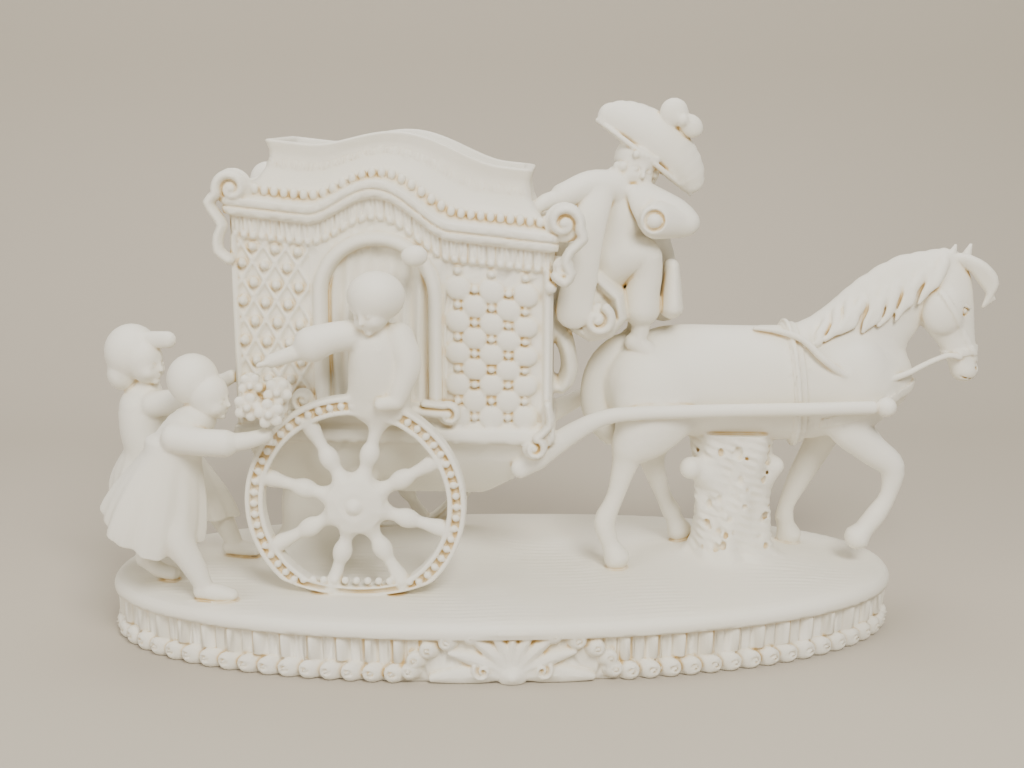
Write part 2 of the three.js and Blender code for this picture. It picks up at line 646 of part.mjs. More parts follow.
// The near child in a bonnet and pinafore, who pushes the wheel.
function nearChild(grow = 0) {
  return join([
    head([-114.4, -34, 104], 8.6, -10, 1, grow),
    ball([-124.4, -32, 109.8], [10.6, 10, 11], { grow }),
    limb([[-131, -32, 99, 4], [-133, -32, 94, 5, 6]], { grow }),
    limb([[-119, -33, 96, 7, 7], [-124, -32, 90, 9, 9], [-130, -31, 81, 10, 10.6]], { grow, sides: 8 }),
    skirt([-130, -31, 84], [-139.6, -29, 52], [10, 10.6, 19, 15.4], 8, grow, -16, 8),
    limb([[-126, -40, 90, 5.6], [-117, -42.6, 89, 5.2], [-106.6, -43.6, 88.6, 5.4]], { grow, tip: 0 }),
    limb([[-107, -43.6, 88.6, 3.4], [-98.4, -42.6, 89.6, 3.2], [-92.6, -41.6, 91, 3.2, 2.4]], { grow }),
    limb([[-130, -36, 56, 6.4], [-127.4, -38, 48, 5.6], [-122, -38, 36.8, 4.4],
      [-119.4, -38, 29.6, 3.8, 3.6]], { grow }),
    limb([[-119.4, -38, 27.4, 3.2, 3.6], [-112, -39, 27, 3.6, 4.2], [-107.4, -39.6, 26.6, 2.4, 3.4]],
      { grow }),
    limb([[-141, -22, 54, 5.6], [-144, -20, 44, 4.8], [-146, -18.4, 34.6, 3.6], [-140, -18, 29, 3, 3.4],
      [-134, -18.4, 27.4, 2.6, 3.2]], { grow }),
  ]);
}

// The far child, bareheaded with a bow, who pushes behind the first.
function farChild(grow = 0) {
  return join([
    head([-146, -3, 112], 9.2, -20, 1, grow),
    ball([-154, 0, 114], [12.4, 11.6, 13], { grow, down: 4 }),
    ball([-157, -1, 104], [7, 9, 9], { grow }),
    limb([[-142, -4, 121, 3.4, 2.4], [-135, -7, 121.4, 3.4, 3]], { grow }),
    limb([[-146, 0, 99, 6, 6], [-148, 1, 92, 10, 10.6], [-147, 2, 80, 10.6, 11], [-143, 3, 72, 11, 11]],
      { grow, sides: 8 }),
    skirt([-144, 3, 78], [-138, 4, 49], [11, 11, 25, 14], 8, grow, -10, 1),
    limb([[-142, -6, 95, 5], [-128, -8.4, 97.6, 5], [-116, -11, 104, 5.4]], { grow, tip: 0 }),
    limb([[-116, -11, 104, 3], [-108, -13.6, 108.4, 3, 2.4]], { grow }),
    limb([[-124, 6, 52, 5.6], [-119, 7, 41, 4.6], [-115.6, 7.6, 33, 3.6]], { grow }),
    limb([[-117, 7.6, 29.6, 3.4], [-110, 6.6, 29, 3.4, 4], [-105.6, 5.6, 28.6, 2.4, 3.2]], { grow }),
    limb([[-142, 9, 50, 5.4], [-143, 12, 40, 4.4], [-143, 13, 31.6, 3.4]], { grow }),
  ]);
}

// A bunch of roses and leaves between the children's hands.
function flowers(grow = 0) {
  const blooms = [[-98, -42, 103, 5], [-90, -43, 100.6, 5.2], [-97, -40, 110.6, 4.4],
    [-87, -41, 108.4, 5], [-91, -34, 104, 7]].map(
    ([x, y, z, r]) => ball([x, y, z], [r, r * 0.9, r], { grow, across: 5, down: 3 }),
  );
  const leaves = [[-100, -41, 97.6, -30], [-82, -41, 103, 50]].map(([x, y, z, turn]) =>
    ball([x, y, z], [5, 2, 2.6], { grow, turn: [0, turn, 0], down: 3 }),
  );
  return join([blooms, leaves]);
}

// Assembly: each piece is cut back from what carries it and from what rests on it

const plinthBody = join([plinth(), stump(), rock()]);
const raised = plinthBody.translate([0, 0, GAP]);
const room = {
  nearShaft: shaft(SHAFT.near, -25, GAP),
  farShaft: shaft(SHAFT.far, 22, GAP),
  driver: driver(GAP),
  windowChild: windowChild(GAP),
  nearChild: nearChild(GAP),
  farChild: farChild(GAP),
  flowers: flowers(GAP),
};
const shafts = [room.nearShaft, room.farShaft];
const cut = (body, ...tools) => largest(tools.flat().reduce((rest, tool) => rest.subtract(tool), body));

const hubRoom = placedCoach(
  join([-1, 1].map((side) => {
    const [x, y, z] = [WHEEL.x, side * WHEEL.track, WHEEL.z];
    return box([x - 11, y - 5 - GAP, z - 11], [x + 11, y + 5 + GAP, z + 11]);
  })),
);

const bodies = {
  plinth: plinthBody,
  coach: cut(coach(), raised, hubRoom, shafts, room.driver, room.windowChild, room.farChild, room.flowers),
  near_wheel: cut(wheel(-1), raised, room.nearChild, room.flowers, room.farChild, room.windowChild),
  far_wheel: cut(wheel(1), raised, room.farShaft),
  pony: cut(pony(), raised, shafts, room.driver),
  near_shaft: shaft(SHAFT.near, -25),
  far_shaft: shaft(SHAFT.far, 22),
  driver: cut(driver()),
  window_child: cut(windowChild()),
  near_child: cut(nearChild(), raised, room.farChild),
  far_child: cut(farChild(), raised, room.flowers),
  flowers: cut(flowers(), room.windowChild, room.nearChild),
};

const bisque = new THREE.MeshStandardMaterial({ color: 0xede7d7, roughness: 0.72, metalness: 0 });
const group = new THREE.Group();
for (const [name, body] of Object.entries(bodies)) group.add(meshed(name, body, bisque.clone()));

export default group;
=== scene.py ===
import math

import bpy
import numpy as np
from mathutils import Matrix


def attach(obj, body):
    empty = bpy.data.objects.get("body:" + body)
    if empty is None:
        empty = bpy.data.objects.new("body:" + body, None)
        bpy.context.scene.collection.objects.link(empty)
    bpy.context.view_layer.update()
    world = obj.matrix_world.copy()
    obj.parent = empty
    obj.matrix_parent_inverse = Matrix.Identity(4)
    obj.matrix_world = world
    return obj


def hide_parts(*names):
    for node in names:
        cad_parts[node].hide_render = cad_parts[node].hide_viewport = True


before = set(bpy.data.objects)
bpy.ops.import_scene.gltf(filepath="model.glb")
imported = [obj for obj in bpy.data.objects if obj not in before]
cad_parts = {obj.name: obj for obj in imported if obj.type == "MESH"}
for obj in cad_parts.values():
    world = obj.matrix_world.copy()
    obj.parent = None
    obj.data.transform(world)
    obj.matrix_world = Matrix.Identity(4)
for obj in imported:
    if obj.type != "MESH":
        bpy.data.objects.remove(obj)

import openvdb
from mathutils import Matrix, Vector

# A bisque porcelain group on an oval plinth: a pony draws a two-wheeled coach that stands open at the
# roof as a flower holder, with a driver, a child at the window and two children who push.
# The group is modelled as one block of clay in millimetres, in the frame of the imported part, and its
# skin becomes one mesh. Relief is drawn as heights over a wall, and carved or raised from the clay.

# Driving dimensions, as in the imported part
PLINTH = dict(half_length=162.5, half_width=67, power=2.15, foot=8, slab=17.5, top=24.6, recess=3.6)
REED = dict(pitch=11.2, proud=2.2)
ROSETTE = dict(pitch=8.4, radius=3.9)
COACH = dict(x=-45, y=4, yaw=-5, left=-60, right=64, half_width=27, wall=4, slope=-0.107)
CORNICE_ARCH = np.array([-2.5, 27, 12.6])
ROOF_ARCH = np.array([7, 36, 8.6])
WINDOW = dict(x=-3.5, sill=99, spring=141, half=25, jamb=5.5)
WHEEL = dict(x=-11.6, z=61.4, track=38, radius=43, rim=7, thick=6, spokes=8, first=29)
STUMP = dict(x=95.5, y=4, top=78, radius=15.5)
HORSE_Y = 4
LOW, HIGH = (-169, -72, -1.5), (204, 71, 220)

STEP = 0.5
FAR = 4.0
TRIANGLES = 196000

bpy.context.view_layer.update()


# Clay

def soft_min(a, b, k):
    """The lesser of two distances, with a fillet of k that fades out far from the skin."""
    low = np.minimum(a, b)
    if k <= 0:
        return low
    near = np.maximum(k - np.abs(a - b), 0)
    return low - near * near / (4 * k) * np.clip(1 - low / FAR, 0, 1)


def soft_max(a, b, k):
    return -soft_min(-a, -b, k)


def step_up(x, low, high):
    t = np.clip((x - low) / (high - low), 0, 1)
    return t * t * (3 - 2 * t)


class Clay:
    """The distance in millimetres to the nearest skin, negative inside, on a regular grid."""

    def __init__(self, low, count):
        self.low = np.array(low, float)
        self.field = np.full(count, FAR, np.float32)

    def span(self, low, high, margin):
        """The index range of each axis that covers a box, and the three coordinate arrays."""
        cut, axes = [], []
        for k in range(3):
            a = max(0, int(math.floor((low[k] - margin - self.low[k]) / STEP)))
            b = min(self.field.shape[k], int(math.ceil((high[k] + margin - self.low[k]) / STEP)) + 1)
            shape = [1, 1, 1]
            shape[k] = -1
            axes.append((self.low[k] + STEP * np.arange(a, max(a, b))).astype(np.float32).reshape(shape))
            cut.append(slice(a, max(a, b)))
        return tuple(cut), axes

    def block(self, low, high, margin=4.0):
        """An empty piece of the grid that covers a box."""
        cut, axes = self.span(low, high, margin)
        piece = Clay([self.low[k] + STEP * cut[k].start for k in range(3)], [c.stop - c.start for c in cut])
        piece.cut = cut
        piece.axes = axes
        return piece

    def join(self, piece, blend=0.0):
        self.field[piece.cut] = soft_min(self.field[piece.cut], piece.field, blend)

    def carve(self, piece, blend=0.0):
        self.field[piece.cut] = soft_max(self.field[piece.cut], -piece.field, blend)

    def capsule(self, a, b, axis):
        """A tapering rod between two rows x, y, z, r, side; side is its radius along the axis."""
        reach = max(a[3], a[4], b[3], b[4]) + 2.5
        cut, (x, y, z) = self.span(np.minimum(a[:3], b[:3]) - reach, np.maximum(a[:3], b[:3]) + reach, 0)
        if min(c.stop - c.start for c in cut) < 1:
            return
        ratio = (a[3] + b[3]) / (a[4] + b[4])
        p = [x - a[0], y - a[1], z - a[2]]
        run = (b[:3] - a[:3]).astype(float)
        if axis == 1:
            p[1] = p[1] * ratio
            run[1] *= ratio
        elif abs(ratio - 1) > 0.01:
            way = np.array(axis, float)
            across = (p[0] * way[0] + p[1] * way[1] + p[2] * way[2]) * (ratio - 1)
            p = [p[k] + across * way[k] for k in range(3)]
            run = run + way * float(run @ way) * (ratio - 1)
        t = np.clip((p[0] * run[0] + p[1] * run[1] + p[2] * run[2]) / max(float(run @ run), 1e-9), 0, 1)
        d = np.sqrt((p[0] - t * run[0]) ** 2 + (p[1] - t * run[1]) ** 2 + (p[2] - t * run[2]) ** 2)
        np.minimum(self.field[cut], d - (a[3] + (b[3] - a[3]) * t), out=self.field[cut])


CLAY = Clay(LOW, [int(math.ceil((b - a) / STEP)) + 1 for a, b in zip(LOW, HIGH)])


def rows_of(points):
    return np.array([(list(p) + [p[3]])[:5] for p in points], float)


def smooth(points, step=2.5):
    """A smooth run through rows of numbers, which pass through each of the rows."""
    p = rows_of(points)
    if len(p) < 3:
        return p
    ends = np.vstack([2 * p[0] - p[1], p, 2 * p[-1] - p[-2]])
    ends[[0, -1], 3:] = p[[0, -1], 3:]
    out = []
    for i in range(1, len(ends) - 2):
        a, b, c, d = ends[i - 1:i + 3]
        count = max(2, int(np.linalg.norm(c[:3] - b[:3]) / step))
        for t in np.arange(count) / count:
            out.append(0.5 * (2 * b + (c - a) * t + (2 * a - 5 * b + 4 * c - d) * t * t
                              + (3 * b - a - 3 * c + d) * t ** 3))
    return np.array(out + [p[-1]])


def limb(points, blend=1.0, axis=1, sharp=False, carve=False, clay=None, step=2.5):
    """A rounded limb through rows x, y, z, r, side, joined to the clay or carved from it."""
    clay = clay or CLAY
    rows = rows_of(points) if sharp else smooth(points, step)
    reach = rows[:, 3:].max()
    piece = clay.block(rows[:, :3].min(0) - reach, rows[:, :3].max(0) + reach)
    for a, b in zip(rows[:-1], rows[1:]):
        piece.capsule(a, b, axis)
    (clay.carve if carve else clay.join)(piece, blend)


def turn(x=0, y=0, z=0):
    """A rotation from degrees about X, then Y, then Z."""
    return np.array(Matrix.Rotation(math.radians(z), 3, "Z") @ Matrix.Rotation(math.radians(y), 3, "Y")
                    @ Matrix.Rotation(math.radians(x), 3, "X"))


def ball(centre, radii, blend=1.0, turned=None, carve=False, clay=None):
    """An ellipsoid; its radii lie along the rows of the turned frame."""
    clay = clay or CLAY
    radii = np.array(radii if np.ndim(radii) else (radii, radii, radii), float)
    reach = radii.max()
    centre = np.array(centre, float)
    piece = clay.block(centre - reach, centre + reach)
    x, y, z = (axis - c for axis, c in zip(piece.axes, centre))
    if turned is None:
        p = (x, y, z)
    else:
        p = [x * turned[0, k] + y * turned[1, k] + z * turned[2, k] for k in range(3)]
    k0 = np.sqrt(sum((p[k] / radii[k]) ** 2 for k in range(3)))
    k1 = np.sqrt(sum((p[k] / radii[k] ** 2) ** 2 for k in range(3)))
    piece.field[:] = np.where(k1 > 1e-6, k0 * (k0 - 1) / np.maximum(k1, 1e-6), -reach)
    (clay.carve if carve else clay.join)(piece, blend)


def spiral(centre, radius, turns, start, way, count=28, shrink=0.12):
    """Points [x, z] of a scroll that winds in from its rim to its eye."""
    out = []
    for i in range(count + 1):
        s = i / count
        a = math.radians(start) + way * turns * 2 * math.pi * s
        r = radius * (1 - (1 - shrink) * s)
        out.append((centre[0] + r * math.cos(a), centre[1] + r * math.sin(a)))
    return out


# Relief drawn on a flat chart

class Chart:
    """Heights over a wall, on a grid of two coordinates u and v in millimetres."""

    def __init__(self, u0, u1, v0, v1, pitch=0.3):
        self.u0, self.v0, self.pitch = u0, v0, pitch
        self.u = (u0 + pitch * np.arange(int((u1 - u0) / pitch) + 1))[:, None]
        self.v = (v0 + pitch * np.arange(int((v1 - v0) / pitch) + 1))[None, :]
        self.height = np.zeros((self.u.shape[0], self.v.shape[1]))

    def raise_to(self, height):
        self.height = np.maximum(self.height, height)

    def window(self, u, v, reach):
        i = [int(np.clip((a - self.u0) / self.pitch, 0, self.height.shape[0])) for a in (u - reach, u + reach)]
        j = [int(np.clip((a - self.v0) / self.pitch, 0, self.height.shape[1])) for a in (v - reach, v + reach)]
        cut = (slice(i[0], i[1] + 1), slice(j[0], j[1] + 1))
        return cut, self.u[cut[0]] - u, self.v[:, cut[1]] - v

    def dome(self, u, v, radius, height, base=0.0):
        cut, du, dv = self.window(u, v, radius)
        rise = base + height * np.sqrt(np.clip(1 - (du * du + dv * dv) / radius ** 2, 0, 1))
        inside = du * du + dv * dv < radius ** 2
        self.height[cut] = np.where(inside, np.maximum(self.height[cut], rise), self.height[cut])

    def stroke(self, points, radius, height, base=0.0):
        """A rounded ridge along points [u, v] or [u, v, radius]."""
        for p, q in zip(points[:-1], points[1:]):
            ra = p[2] if len(p) > 2 else radius
            rb = q[2] if len(q) > 2 else radius
            reach = math.hypot(q[0] - p[0], q[1] - p[1]) / 2 + max(ra, rb) + self.pitch
            cut, du, dv = self.window((p[0] + q[0]) / 2, (p[1] + q[1]) / 2, reach)
            hu, hv = (q[0] - p[0]) / 2, (q[1] - p[1]) / 2
            t = np.clip(((du + hu) * hu + (dv + hv) * hv) / max(2 * (hu * hu + hv * hv), 1e-9), 0, 1)
            d = np.hypot(du + hu - 2 * t * hu, dv + hv - 2 * t * hv)
            r = ra + (rb - ra) * t
            rise = base + height * np.sqrt(np.clip(1 - (d / r) ** 2, 0, 1))
            self.height[cut] = np.where(d < r, np.maximum(self.height[cut], rise), self.height[cut])

    def at(self, u, v):
        """Heights at arrays u and v, blended between the chart's points."""
        i = np.clip((u - self.u0) / self.pitch, 0, self.height.shape[0] - 1.001)
        j = np.clip((v - self.v0) / self.pitch, 0, self.height.shape[1] - 1.001)
        i0, j0 = i.astype(np.int32), j.astype(np.int32)
        a, b = (i - i0).astype(np.float32), (j - j0).astype(np.float32)
        h = self.height.astype(np.float32)
        return ((h[i0, j0] * (1 - a) + h[i0 + 1, j0] * a) * (1 - b)
                + (h[i0, j0 + 1] * (1 - a) + h[i0 + 1, j0 + 1] * a) * b)


# Plinth

def oval_edge(x, y):
    """The distance outside the oval's edge, over the plan."""
    a, b, n = PLINTH["half_length"], PLINTH["half_width"], PLINTH["power"]
    u, v = np.abs(x / a), np.abs(y / b)
    r = (u ** n + v ** n) ** (1 / n) + 1e-6
    slope = np.hypot((u / r) ** (n - 1) / a, (v / r) ** (n - 1) / b)
    return (r - 1) / slope


def oval_walk(x, y):
    """The way along the oval's edge from the middle of its front, to the right above zero."""
    a, b, n = PLINTH["half_length"], PLINTH["half_width"], PLINTH["power"]
    t = np.linspace(0, 2 * math.pi, 2881) - math.pi / 2
    bent = lambda v: np.sign(v) * np.abs(v) ** (2 / n)
    px, py = a * bent(np.cos(t)), b * bent(np.sin(t))
    walk = np.concatenate([[0], np.cumsum(np.hypot(np.diff(px), np.diff(py)))])
    ray = np.arctan2(px, -py)
    ray = np.unwrap(ray)
    return np.interp(np.arctan2(x, -y) % (2 * math.pi), ray, walk), walk[-1]


def ground(x, y):
    swell = lambda cx, cy, rx, ry: np.exp(-((x - cx) / rx) ** 2 - ((y - cy) / ry) ** 2)
    rise = PLINTH["top"] + 4.5 * swell(96, 8, 34, 24) + 6 * swell(-30, 22, 42, 20) + 1.2 * swell(-120, 10, 30, 30)
    drift = 3.0 * np.sin(x / 23 + 1.3) + 2.2 * np.sin(x / 9.7 + y / 31)
    ripple = np.sin(y * 1.9 + drift + 0.5 * np.sin(x / 4.1)) * (0.6 + 0.4 * np.sin(x / 13 + y / 17))
    return rise + 0.13 * ripple


def frieze_chart(length):
    """The plinth's side laid flat: reeds over a row of rosettes, with a palmette in the middle."""
    chart = Chart(-length / 2 - 4, length / 2 + 4, -2, 27, 0.3)
    u, v = chart.u, chart.v
    reeds = round(length / REED["pitch"])
    pitch = length / reeds
    near = (u / pitch + 0.5) % 1 - 0.5
    reed = REED["proud"] * np.sqrt(np.clip(1 - (near * pitch / 1.9) ** 2, 0, 1))
    slot = -1.3 * step_up(-np.abs(np.abs(near) - 0.5) * pitch, -1.5, -0.9)
    edge = 0.7 * step_up(-np.abs(np.abs(near) - 0.33) * pitch, -0.7, -0.2)
    band = step_up(v, 7.2, 8.4) * step_up(-v, -18.4, -17.2)
    chart.height = (np.maximum(reed, edge) + slot) * band + np.zeros_like(chart.height)
    # A plain fillet under the slab, and the rosettes below
    chart.raise_to(2.4 * step_up(v, 17.0, 18.0) * np.ones_like(u))
    count = round(length / ROSETTE["pitch"])
    step = length / count
    for i in range(-count // 2, count // 2 + 1):
        cut, du, dv = chart.window((i + 0.5) * step, 4.0, 4.4)
        r = np.hypot(du, dv)
        a = np.arctan2(dv, du)
        swirl = 0.34 * np.cos(2 * a - r * 1.9) * step_up(-r, -3.3, -1.0)
        rise = 1.4 + 2.0 * np.sqrt(np.clip(1 - (r / ROSETTE["radius"]) ** 2, 0, 1)) + swirl
        rise = rise - 0.7 * step_up(-r, -1.5, -1.0) + 1.0 * step_up(-r, -0.9, -0.4)
        chart.height[cut] = np.where(r < ROSETTE["radius"], np.maximum(chart.height[cut], rise), chart.height[cut])
    palmette(chart)
    return chart


def palmette(chart):
    """The fan of petals in the middle of the front, under an arch of eyed buds."""
    cut, du, dv = chart.window(0, 2, 47)
    inside = (du / 40) ** 2 + (np.maximum(dv, 0) / 19) ** 2 < 1
    chart.height[cut] = np.where(inside, -0.6, chart.height[cut])
    for i in range(9):
        a = math.radians(-2 + 184 * i / 8)
        far = 27.5 * (1 - 0.50 * math.sin(a) ** 2) if 0 < i < 8 else 31
        wide = 2.6 if i in (0, 8) else 2.1
        points = []
        for s in (0.2, 0.35, 0.5, 0.65, 0.8, 0.93, 1.0):
            bow = 0.05 * far * math.sin(math.pi * s) * (1 if math.cos(a) > 0.05 else -1 if math.cos(a) < -0.05 else 0)
            size = wide * (0.45 + 1.05 * math.sin(math.pi * (0.12 + 0.72 * s)) ** 1.6)
            points.append((math.cos(a) * far * s - bow * math.sin(a), 3.4 + math.sin(a) * far * s + abs(bow) * 0.4, size))
        chart.stroke(points, 1, 2.7)
        chart.stroke([(p[0], p[1], 0.28) for p in points[1:-1]], 0.28, 0.4, 2.6)
    for side in (-1, 1):
        curl = spiral((side * 11.5, 5.4), 3.6, 1.3, 90 - side * 60, -side, 20)
        chart.stroke([(p[0], p[1], 1.15 - 0.025 * k) for k, p in enumerate(curl)], 1, 2.4, 1.2)
    for i in range(12):
        a = math.radians(3 + 174 * i / 11)
        u, v = math.cos(a) * 39.5, 4.4 + math.sin(a) * 16.4
        chart.dome(u, v, 3.7, 2.8, 1.0)
        cut, du, dv = chart.window(u, v, 1.6)
        ring = np.hypot(du, dv)
        chart.height[cut] -= 0.8 * step_up(-ring, -1.5, -1.1) - 1.0 * step_up(-ring, -0.85, -0.4)
    for k, high in ((5.0, 3.6), (3.2, 4.6)):
        cut, du, dv = chart.window(0, 3.4, 6)
        r = np.hypot(du / 1.25, dv)
        rise = high * np.sqrt(np.clip(1 - (r / k) ** 2, 0, 1)) + 0.6
        chart.height[cut] = np.where(r < k, np.maximum(chart.height[cut], rise), chart.height[cut])


def plinth():
    a, b = PLINTH["half_length"] + 1, PLINTH["half_width"] + 3
    piece = CLAY.block((-a, -b, 0), (a, b, 37), 2)
    x, y, z = piece.axes
    edge = oval_edge(x, y)
    walk, length = oval_walk(x, y)
    walk = (walk + length / 2) % length - length / 2
    chart = frieze_chart(length)
    recess = PLINTH["recess"]
    slab = step_up(z, 17.2, 18.4)
    side = np.empty(piece.field.shape, np.float32)
    for k in range(side.shape[2]):
        level = float(z[0, 0, k])
        h = np.where(np.abs(edge[:, :, 0]) < 9, chart.at(walk[:, :, 0], np.full(walk.shape[:2], level)), 0)
        bulge = recess - 0.25 * (level - 20.6) ** 2 / 4 if level > 17.4 else 0
        side[:, :, k] = edge[:, :, 0] + recess - np.maximum(h, bulge * float(slab[0, 0, k]))
    top = z - ground(x, y)
    bottom = -z
    piece.field[:] = soft_max(soft_max(side * 0.8, top, 4.5), bottom, 0.8)
    CLAY.join(piece)


def stump():
    x0, y0, top, r = STUMP["x"], STUMP["y"], STUMP["top"], STUMP["radius"]
    piece = CLAY.block((x0 - 30, y0 - 30, 22), (x0 + 30, y0 + 30, top + 4))
    x, y, z = (axis - c for axis, c in zip(piece.axes, (x0, y0, 0)))
    a = np.arctan2(y, x)
    wide = r + 6.5 * np.exp(-(z - 25) / 5.5) + 1.5 * step_up(z, 60, 76)
    lobes = 1 + 0.06 * np.sin(3 * a + z / 17) + 0.045 * np.sin(5 * a - z / 11 + 1) + 0.03 * np.sin(9 * a + z / 7)
    rough = 0.35 * np.sin(13 * a + z * 0.9) * np.sin(z * 0.55 + 4 * a) + 0.25 * np.sin(z * 1.7 + 7 * a)
    rho = np.hypot(x, y / 0.86)
    piece.field[:] = np.maximum(rho - wide * lobes - rough, z - top - 3) * 0.85
    CLAY.join(piece, 4)
    limb([(x0 - 9, y0 - 6, top - 17, 6), (x0 - 17, y0 - 9, top - 11.5, 4.4), (x0 - 19.5, y0 - 10.4, top - 11, 4.6)], 3)
    limb([(x0 + 10, y0 - 2, top - 20, 6), (x0 + 16.5, y0 - 5, top - 12, 4.2)], 3)
    pits = np.random.default_rng(11)
    for _ in range(150):
        a, z = pits.uniform(0, 2 * math.pi), pits.uniform(31, top - 3)
        r = 15.6 + 6.5 * math.exp(-(z - 25) / 5.5)
        size = pits.uniform(0.7, 1.5)
        at = (x0 + r * math.cos(a), y0 + 0.86 * r * math.sin(a), z)
        ball(at, (size, size, size * pits.uniform(0.9, 1.8)), 0.5, carve=True)


def rock():
    limb([(-84, 8, 22, 17, 14), (-82, 8, 36, 13, 12), (-78, 7, 52, 16, 12)], 5, sharp=False)


# Coach

def coach_axes(x, y):
    """The coach's own x and y at points of the group."""
    c, s = math.cos(math.radians(COACH["yaw"])), math.sin(math.radians(COACH["yaw"]))
    dx, dy = x - COACH["x"], y - COACH["y"]
    return dx * c + dy * s, dy * c - dx * s


def placed(points):
    """Rows from the coach's own frame in the group's."""
    c, s = math.cos(math.radians(COACH["yaw"])), math.sin(math.radians(COACH["yaw"]))
    return [(COACH["x"] + p[0] * c - p[1] * s, COACH["y"] + p[0] * s + p[1] * c) + tuple(p[2:]) for p in points]


ACROSS = (-math.sin(math.radians(COACH["yaw"])), math.cos(math.radians(COACH["yaw"])), 0.0)


def drop(x, z):
    """How far the coach's slope and arch move the mouldings at x, for a height z before the move."""
    share = np.clip((z - 172) / 22, 0, 1)
    at, half, rise = (CORNICE_ARCH[k] + (ROOF_ARCH[k] - CORNICE_ARCH[k]) * share for k in range(3))
    away = np.clip(np.abs(x - at) / half, 0, 1)
    lift = rise * (0.5 + 0.5 * np.cos(math.pi * away)) ** 0.85
    return (COACH["slope"] * x + lift) * step_up(z, 96, 150)


def unmoved(x, z):
    """The height before the slope and arch, at points of the wall."""
    flat = z - drop(x, z)
    for _ in range(2):
        flat = z - drop(x, flat)
    return flat


def along(x, z):
    """The real height of a moulding drawn at the unmoved height z."""
    return z + float(drop(np.array(float(x)), np.array(float(z))))


# Height, insets of the left end, the right end and the long sides
COACH_OUTSIDE = np.array([
    (55, 26, 34, 22), (58, 19, 26, 17), (66, 11, 15, 9), (76, 4.6, 7, 3), (82.6, 2, 3.4, 0.8), (83.4, -1, -1, -2.6),
    (86, -1.4, -1.4, -3.2), (88.8, -1, -1, -2.8), (90, 0, 0, -0.6), (91, 0, 0, 0), (158, 0, 0, 0), (165.2, 0, 0, -0.4),
    (166, -1.6, -1.6, -3.4), (168.3, -2, -2, -4), (169, -1.2, -1.2, -3), (169.8, -2, -2, -4.2), (172.2, -2, -2, -4.4),
    (173, 0, -0.4, -2.6), (174, 3, 3, -1), (178.4, 8, 5.4, 2.2), (180, 10.6, 6.8, 3), (184, 13.2, 8.8, 4), (188, 15, 9.6, 4.4),
    (191, 15.2, 9.4, 3.8), (193, 14.6, 8.8, 3), (194.8, 13.8, 8.2, 2.2), (198, 13.6, 8.0, 2.0)])
COACH_INSIDE = np.array([
    (95, 8, 10, 8), (98, 8, 10, 8), (160, 4, 4, 4), (168, 5, 5, 4), (176, 12, 9, 5.4), (184, 19, 13.6, 8.4), (190, 19.4, 13.8, 8.6),
    (193, 18, 12.4, 6.6), (198, 17, 11, 6)])


def coach_plan(profile, lx, ly, flat):
    """The distance outside a rounded oblong whose ends and sides follow a profile of heights."""
    inset = [np.interp(flat, profile[:, 0], profile[:, k]).astype(np.float32) for k in (1, 2, 3)]
    left, right = COACH["left"] + inset[0], COACH["right"] - inset[1]
    half_y = COACH["half_width"] - inset[2]
    corner = np.minimum(3.0, half_y * 0.4)
    qx = np.abs(lx - (left + right) / 2) - (right - left) / 2 + corner
    qy = np.abs(ly) - half_y + corner
    return np.hypot(np.maximum(qx, 0), np.maximum(qy, 0)) + np.minimum(np.maximum(qx, qy), 0) - corner


